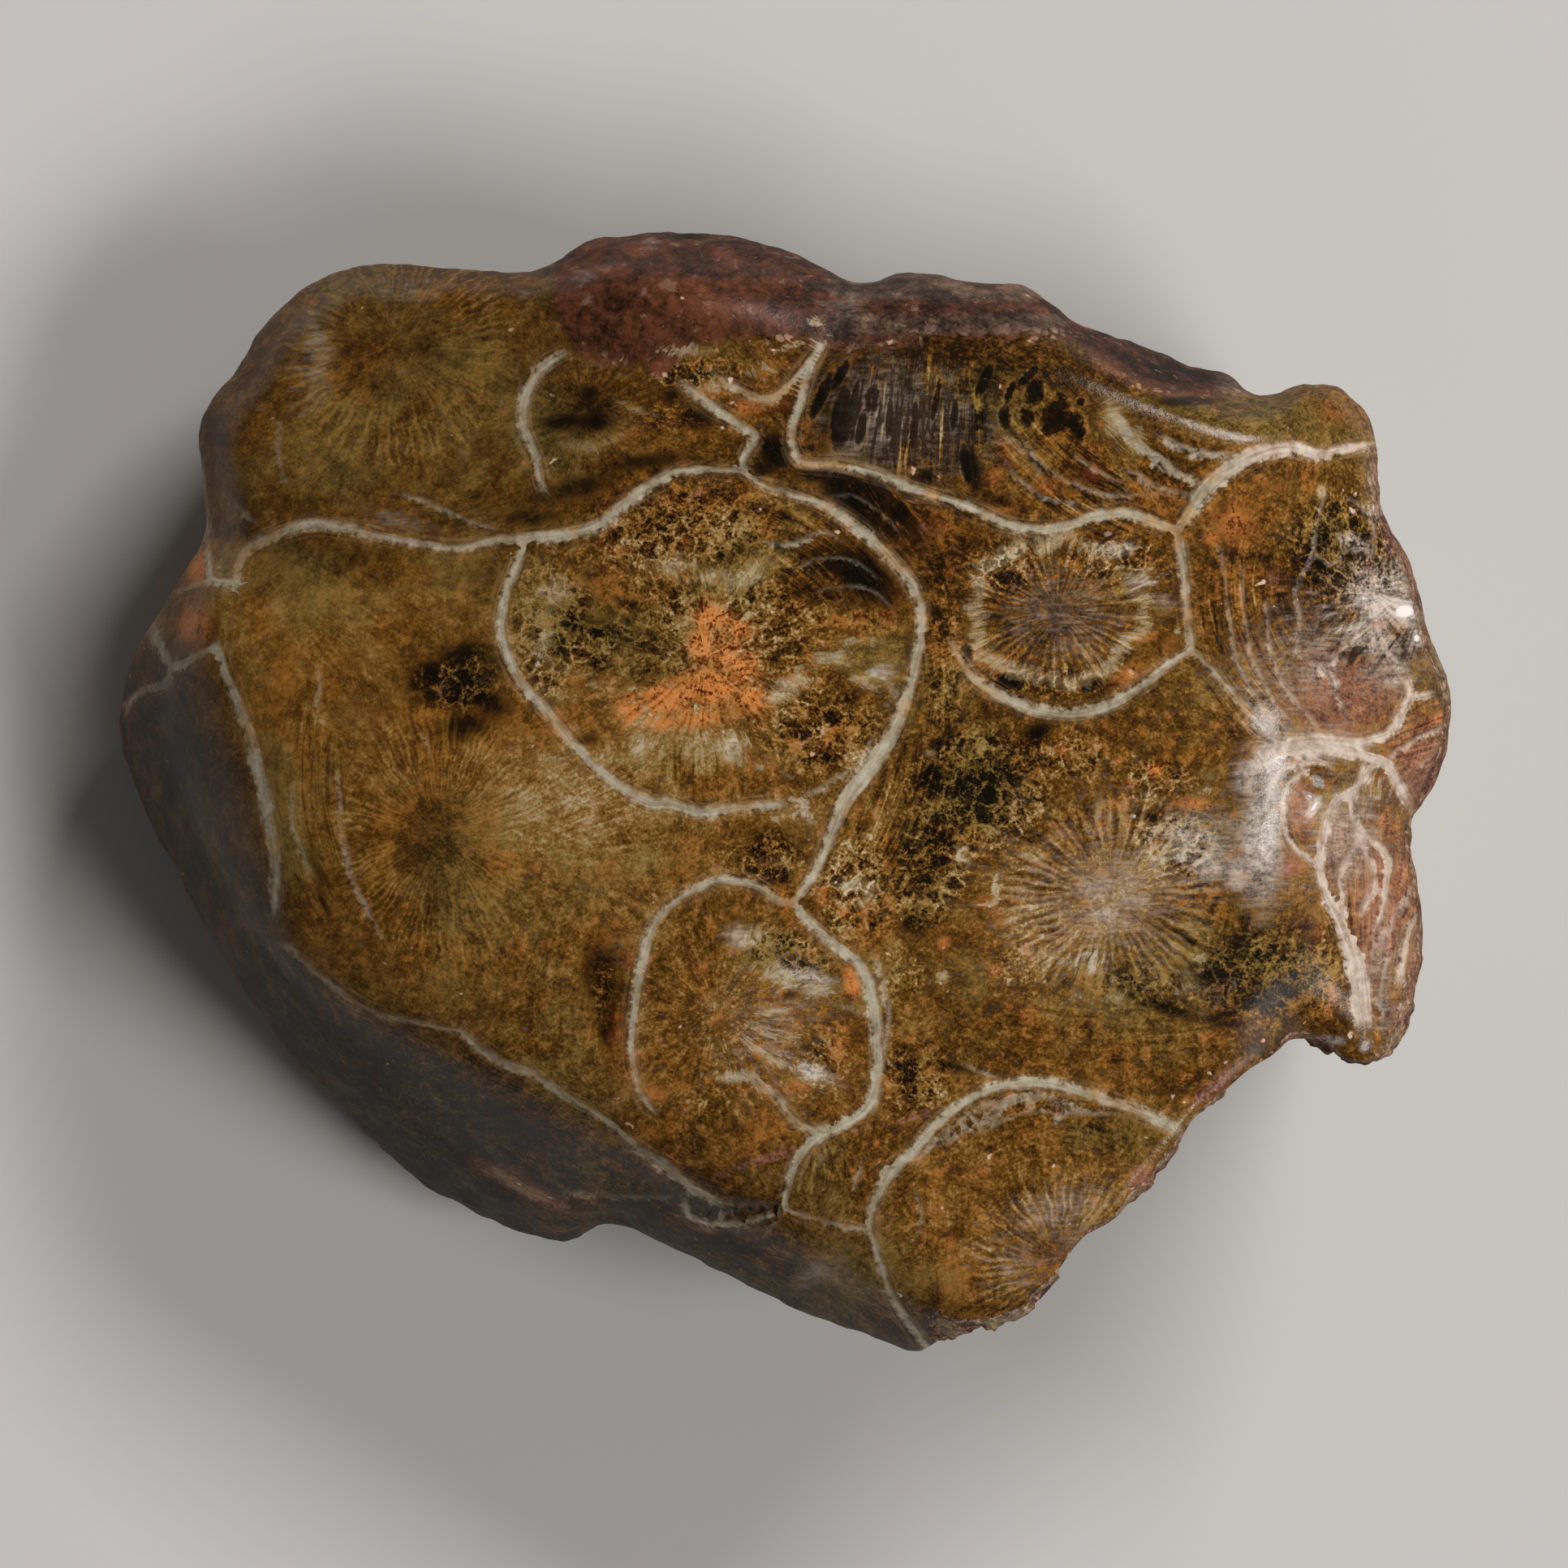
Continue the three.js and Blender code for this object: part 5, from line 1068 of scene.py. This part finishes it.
# Fibres: noise stretched along them, and along the walls close by.
fibre_noise = grains(joined(times(fibre_s, 4.2), times(x_mm, 0.35), times(y_mm, 0.35)), 1.0, 3.0, 0.65, 0.5)
pale_fibre = times(rise(fibre_noise, 0.52, 0.72), fibre_k)
dark_fibre = times(rise(fibre_noise, 0.5, 0.34), fibre_k)
hair_noise = grains(joined(times(wall_d, 7.5), times(x_mm, 0.5), times(y_mm, 0.5)), 1.0, 3.0, 0.6, 0.4)
near_wall = rise(wall_far, 1.2, 0.15)
pale_hair = times(rise(hair_noise, 0.5, 0.75), near_wall)

# Net of small bubbles between the plates: pale partitions, and here and there a dark hollow.
NET_SCALE = 1.45
swirl = place("ShaderNodeTexNoise", {"Vector": spot, "Scale": 1.4, "Detail": 3.0}).outputs["Color"]
swirled = place("ShaderNodeVectorMath", {0: spot, 1: swirl}, operation="ADD").outputs[0]
partitions = place(
    "ShaderNodeTexVoronoi", {"Vector": swirled, "Scale": NET_SCALE}, feature="DISTANCE_TO_EDGE"
).outputs["Distance"]
partition = rise(total(partitions, about(mottled, 0.24), about(grainy, 0.12)), 0.15, 0.0)
hollow_chance = bubbles(NET_SCALE)[1]
hollow = times(rise(hollow_chance, 0.5, 0.75), rise(total(partitions, about(mottled, 0.5)), 0.08, 0.2))
lacy = veins(spot, 1.5, 0.05)
branchy = veins(swirled, 3.2, 0.045, 3.0)

# Lightness before staining, on a scale of 0 to 1.
CONTRAST, CONTRAST_MIDDLE = 1.09, 0.45
ragged = total(about(mottled, 1.6), about(grainy, 1.1), about(streaky, 0.7), about(cloudy, 0.6))
rayed = total(
    about(mottled, 1.5), about(grainy, 1.1), times(about(streaky, 1.9), rise(fibre_k, 0.8, 0.2)),
    times(about(fibre_noise, 1.7), fibre_k),
)
grain = total(about(mottled, 0.7), about(grainy, 0.9), about(streaky, 0.6))
speck = rise(total(mottled, about(grainy, 0.7)), 0.44, 0.3)
cracks = rise(ray, 0.5, 0.36)
moss = rise(total(mossy_k, times(ragged, 0.3)), 0.25, 0.65)
crisp = total(0.84, times(to_left, -0.32), times(moss, 0.65))
light = total(
    0.41, cell_tone, shade_k, about(broad, 0.2), about(cloudy, 0.4), about(other, 0.3), times(grain, crisp),
    times(moss, -0.03), times(pale_ray, 0.3), times(dark_ray, -0.26), times(times(webs, pale_spokes), 0.07),
    times(pale_fibre, 0.24), times(dark_fibre, -0.2), times(pale_hair, 0.1), times(times(moss, speck), -0.29),
    times(times(moss, partition), 0.22), times(times(moss, hollow), -0.15), times(times(moss, branchy), 0.08),
)
dark_ragged = total(dark_k, times(ragged, 0.75))
dark_here = mix_values(moss, rise(dark_ragged, 0.4, 1.05), rise(dark_ragged, 0.42, 0.66))
softer_left = maths("MULTIPLY_ADD", to_left, -0.5, 1.0)
pale_here = times(rise(total(pale_k, times(rayed, -1.1)), 0.45, 0.85), softer_left)
orange_here = rise(total(orange_k, times(rayed, -0.75), times(cracks, -0.06)), 0.36, 0.95)
HOLE_REACH = 3.0  # half-sizes
hole_far = HOLE_REACH
for x, y, long, short, turn in HOLES:
    in_hole = place(
        "ShaderNodeMapping",
        {"Vector": spot, "Location": (x, y, 0.0), "Rotation": (0.0, 0.0, math.radians(turn)),
         "Scale": (long, short, 1000.0)},
        vector_type="TEXTURE",
    ).outputs[0]
    far = place("ShaderNodeVectorMath", {0: in_hole}, operation="LENGTH").outputs["Value"]
    hole_far = maths("MINIMUM", far, hole_far)
hole_ragged = total(hole_far, about(mottled, 0.9), about(grainy, 0.45), about(cloudy, 0.5))
hole_here = rise(hole_ragged, 1.6, 0.5)
hole_rim = times(rise(hole_ragged, 1.2, 1.45), rise(hole_ragged, 2.0, 1.55))
scored = grains(joined(times(x_mm, 0.9), times(y_mm, 5.0), 0.0), 1.0, 3.0, 0.7, 0.3)
ashen_and_sheen_here = rise(total(ashen_and_sheen_k, times(rayed, -0.5), about(scored, 0.7)), 0.1, 0.9, 0.85)
etched = maths("MAXIMUM", lacy, branchy)
light = total(
    light, times(dark_here, -0.32), times(times(times(etched, dark_here), total(moss, 0.15)), 0.16),
    times(pale_here, 0.24), times(times(pale_fibre, dark_here), 0.14), times(ashen_and_sheen_here, 0.12),
    times(hole_rim, 0.1), times(hole_here, -0.34), times(times(orange_here, cracks), -0.06),
    times(times(orange_here, speck), -0.14),
)
light = maths("MULTIPLY_ADD", light, CONTRAST, CONTRAST_MIDDLE * (1.0 - CONTRAST))

# The stone's own browns, and the tinges and stains over them.
shades = place("ShaderNodeValToRGB", {"Fac": light})
stops = [(0.0, (9, 5, 1)), (0.2, (36, 20, 3)), (0.38, (81, 50, 9)), (0.54, (119, 81, 29)),
         (0.7, (153, 119, 66)), (0.95, (198, 184, 156))]
while len(shades.color_ramp.elements) < len(stops):
    shades.color_ramp.elements.new(0.5)
for element, (position, colour) in zip(shades.color_ramp.elements, stops):
    element.position = position
    element.color = srgb(*colour)
colour = shades.outputs[0]
amber = tinted(light, 0.1, 0.75, (46, 23, 2), (162, 104, 35))
amber_here = rise(total(slow, about(mottled, 0.5), about(other, 0.4), times(gold_k, 0.2)), 0.5, 0.8, 0.75)
colour = mix(amber_here, colour, amber)
olive = tinted(light, 0.08, 0.8, (14, 10, 1), (139, 111, 53))
olive_here = rise(total(broad, about(cloudy, 0.4), times(olive_k, 0.3)), 0.48, 0.82, 0.75)
colour = mix(olive_here, colour, olive)
unrusted = maths("MAXIMUM", maths("MAXIMUM", to_left, olive_here), hole_here)
rust = times(
    rise(total(other, about(mottled, 0.9), about(grainy, 0.6), about(slow, 0.5)), 0.57, 0.77, 0.32),
    maths("MULTIPLY_ADD", unrusted, -0.8, 1.0),
)
colour = mix(rust, colour, tinted(light, 0.1, 0.8, (66, 30, 8), (186, 112, 60)))
orange_shades = tinted(light, 0.1, 0.72, (86, 36, 6), (222, 138, 68))
colour = mix(times(orange_here, 0.9), colour, orange_shades)
red_shades = tinted(light, 0.1, 0.8, (66, 30, 17), (184, 124, 96))
colour = mix(rise(total(red_k, times(ragged, -0.25)), 0.3, 0.8, 0.85), colour, red_shades)
pale_shades = tinted(light, 0.3, 0.95, (118, 100, 66), (196, 184, 154))
colour = mix(times(pale_here, 0.55), colour, pale_shades)

# Red rock behind the corals, with its grey band, pale bits and a border of broken pieces.
rock_edge = rise(total(rock_k, about(cloudy, 1.6), about(mottled, 1.2), about(grainy, 0.4)), 0.34, 0.66)
rock_light = total(0.35, about(cloudy, 1.2), about(mottled, 1.0), about(grainy, 0.6), about(broad, 0.7))
rock_red = tinted(rock_light, 0.0, 0.9, (22, 10, 4), (120, 68, 42))
rock_grey = tinted(rock_light, 0.0, 0.9, (40, 26, 17), (140, 112, 92))
grey_here = rise(total(grey_k, times(ragged, 0.2), about(broad, 0.4)), 0.3, 0.8, 0.8)
colour = mix(rock_edge, colour, mix(grey_here, rock_red, rock_grey))
rock_spots = times(rise(total(other, about(cloudy, 0.6)), 0.6, 0.7, 0.5), rock_edge)
colour = mix(rock_spots, colour, srgb(142, 112, 92))
colour = mix(times(times(pale_here, rock_edge), 0.7), colour, srgb(188, 164, 132))
border = rise(maths("ABSOLUTE", total(rock_k, about(cloudy, 0.8), -0.45)), 0.4, 0.1)
bit_out, bit_chance, bit_paleness, _ = bubbles(2.4)
bit_inside = rise(total(bit_out, about(grainy, 0.5)), 0.55, 0.35)
bit_chosen = rise(total(bit_chance, about(slow, 1.6)), 0.62, 0.72, 0.62)
bit_shades = mix(bit_paleness, srgb(58, 22, 12), srgb(196, 150, 122))
colour = mix(times(times(border, bit_inside), bit_chosen), colour, bit_shades)

# Ash grey where the calcite is bleached through; at the right end the same grey is painted sheen,
# scored across like worn polish.
ash_light = total(light, about(scored, 0.5), about(mottled, 0.4))
ash_grey = tinted(ash_light, 0.06, 0.95, (54, 41, 32), (208, 194, 182))
colour = mix(ashen_and_sheen_here, colour, ash_grey)
# Near-white painted highlights, where the ash grey and sheen patches are strongest, at the right end.
colour = mix(rise(total(ashen_and_sheen_k, times(ragged, -0.1)), 1.25, 1.6, 0.9), colour, srgb(232, 222, 214))


# Walls and strands: lines of uneven width, cream, tan or pinkish.
def line_mask(offset, far, half):
    """Where a line shows. The signed offset gives it a true middle; the plain distance keeps others out."""
    wavering = maths("ABSOLUTE", total(offset, about(mottled, 0.4), about(cloudy, 0.3), about(grainy, 0.22)))
    width = times(half, total(times(other, 1.6), about(mottled, 1.0), 0.2))
    inside = rise(maths("SUBTRACT", wavering, width), 0.12, -0.1)
    return times(inside, rise(maths("SUBTRACT", far, half), 0.42, 0.26))


right_end = rise(x_mm, 17.5, 20.0)
cream_light = total(0.5, about(hair_noise, 0.8), about(other, 1.1), about(mottled, 0.5))
cream_grey = tinted(cream_light, 0.1, 0.9, (140, 124, 98), (196, 186, 164))
cream_tan = tinted(cream_light, 0.1, 0.9, (140, 106, 68), (194, 164, 124))
cream_pink = tinted(cream_light, 0.1, 0.9, (142, 116, 98), (210, 194, 178))
cream = mix(rise(total(slow, about(cloudy, 0.5)), 0.5, 0.66), cream_grey, cream_tan)
cream = mix(right_end, cream, cream_pink)
strand_here = times(times(line_mask(strand_d, strand_far, strand_w), strand_g), rise(mottled, 0.25, 0.6, 0.9))
colour = mix(strand_here, colour, cream)
halo = times(rise(wall_far, 0.65, 0.15, 0.3), wall_g)
colour = mix(times(halo, rise(hair_noise, 0.35, 0.65)), colour, cream_tan)
wall_here = times(line_mask(wall_d, wall_far, wall_w), wall_g)
wall_here = times(wall_here, total(0.5, times(cloudy, 1.0), about(hair_noise, 0.3)))
colour = mix(wall_here, colour, cream)

# Fine bright flecks, partly clear calcite and partly painted glints, thick in places.
fleck_out, fleck_chance, fleck_size, fleck_paleness = bubbles(1.9)
fleck_chosen = rise(total(fleck_chance, times(glint_k, 0.48)), 0.965, 0.985)
fleck_rim = total(fleck_out, about(grainy, 0.3), times(fleck_size, 0.16))
flecks = times(rise(fleck_rim, 0.3, 0.16), fleck_chosen)
fleck_tint = mix(fleck_paleness, srgb(214, 160, 128), srgb(228, 208, 188))
colour = mix(times(flecks, 0.8), colour, fleck_tint)

# Snapped sides, with pale crumbs.
break_light = total(0.42, about(mottled, 1.2), about(cloudy, 0.9), about(grainy, 0.6))
break_red = tinted(break_light, 0.1, 0.9, (56, 26, 16), (176, 128, 100))
break_tan = tinted(break_light, 0.1, 0.9, (60, 44, 26), (182, 160, 128))
break_shades = mix(rise(total(cloudy, about(slow, 1.2)), 0.46, 0.62, 0.8), break_red, break_tan)
crumbs = rise(total(grainy, about(mottled, 0.9), times(edge_k, -0.07)), 0.56, 0.66, 0.7)
break_shades = mix(crumbs, break_shades, srgb(206, 184, 166))
broken_here = rise(total(rim_k, about(mottled, 0.9), about(cloudy, 0.5)), 0.42, 0.62)
colour = mix(times(broken_here, 0.72), colour, break_shades)

# Sawn back: the same corals, duller, under the saw's arcs.
SAW_X, SAW_Y = 90.0, 40.0  # how far to the right and to the front the saw's middle was, in millimetres
saw_x, saw_y = maths("SUBTRACT", x_mm, SAW_X), maths("ADD", y_mm, SAW_Y)
saw_arc = maths("SQRT", total(times(saw_x, saw_x), times(saw_y, saw_y)))
saw_lines = grains(joined(times(saw_arc, 1.6), 0.0, 0.0), 1.0, 2.0, 0.7)
colour = mix(times(sawn_k, 0.3), colour, srgb(150, 128, 100))

# The polish: soft gloss, duller on the steep sides, the red rock and the snapped sides.
rough = total(
    0.13, times(mottled, 0.1), times(broken_here, 0.35), times(rock_edge, 0.15), times(ground_k, 0.4),
    times(dull_k, 0.4),
)
relief = total(
    times(grainy, 0.008), times(cloudy, 0.03), times(times(broken_here, mottled), 0.2),
    times(times(sawn_k, saw_lines), 0.05),
)
bump = place("ShaderNodeBump", {"Height": relief, "Strength": 1.0, "Distance": MM})
shader = place(
    "ShaderNodeBsdfPrincipled",
    {"Base Color": colour, "Roughness": rough, "Normal": bump.outputs[0], "IOR": 1.5,
     "Specular IOR Level": 0.25},
)
place("ShaderNodeOutputMaterial", {"Surface": shader.outputs[0]})
block.materials.append(finish)

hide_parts("coral_slice")
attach(stone, "root")


# The studio
# A wide pale floor that the stone lies on, and two soft lamps on the right, one before it and one behind.
# They stand where the polished face mirrors neither, and there is faint even light from all round.
FLOOR_HALF = 2.0  # metres
BOX_WIDTH, BOX_TALL = 0.6, 0.35  # metres
floor_mesh = bpy.data.meshes.new("studio_floor")
corners = [(FLOOR_HALF * x, FLOOR_HALF * y, 0) for x, y in ((-1, -1), (1, -1), (1, 1), (-1, 1))]
floor_mesh.from_pydata(corners, [], [(0, 1, 2, 3)])
floor = added("studio_floor", floor_mesh)
paper = bpy.data.materials.new("pale_paper")
paper.use_nodes = True
paper_look = paper.node_tree.nodes["Principled BSDF"].inputs
paper_look["Base Color"].default_value = srgb(198, 196, 192)
paper_look["Roughness"].default_value = 0.9
floor_mesh.materials.append(paper)


def softbox(name, turn, height, far, power):
    """A soft lamp aimed at the stone from far metres off, turn degrees round it and height degrees up."""
    lamp = bpy.data.lights.new(name, "AREA")
    lamp.shape = "RECTANGLE"
    lamp.size, lamp.size_y = BOX_WIDTH, BOX_TALL
    lamp.energy = power
    holder = added(name, lamp)
    level = far * math.cos(math.radians(height))
    holder.location = (level * math.cos(math.radians(turn)), level * math.sin(math.radians(turn)),
                       far * math.sin(math.radians(height)))
    holder.rotation_euler = (-holder.location).to_track_quat("-Z", "Y").to_euler()


softbox("key_softbox", turn=-25.0, height=46.0, far=1.4, power=12.5)
softbox("back_softbox", turn=54.0, height=40.0, far=1.5, power=15.0)
world = bpy.data.worlds.new("studio_air")
world.use_nodes = True
air = world.node_tree.nodes["Background"].inputs
air["Color"].default_value = (1.0, 0.98, 0.95, 1.0)
air["Strength"].default_value = 0.1
bpy.context.scene.world = world
bpy.context.scene.view_settings.view_transform = "Standard"
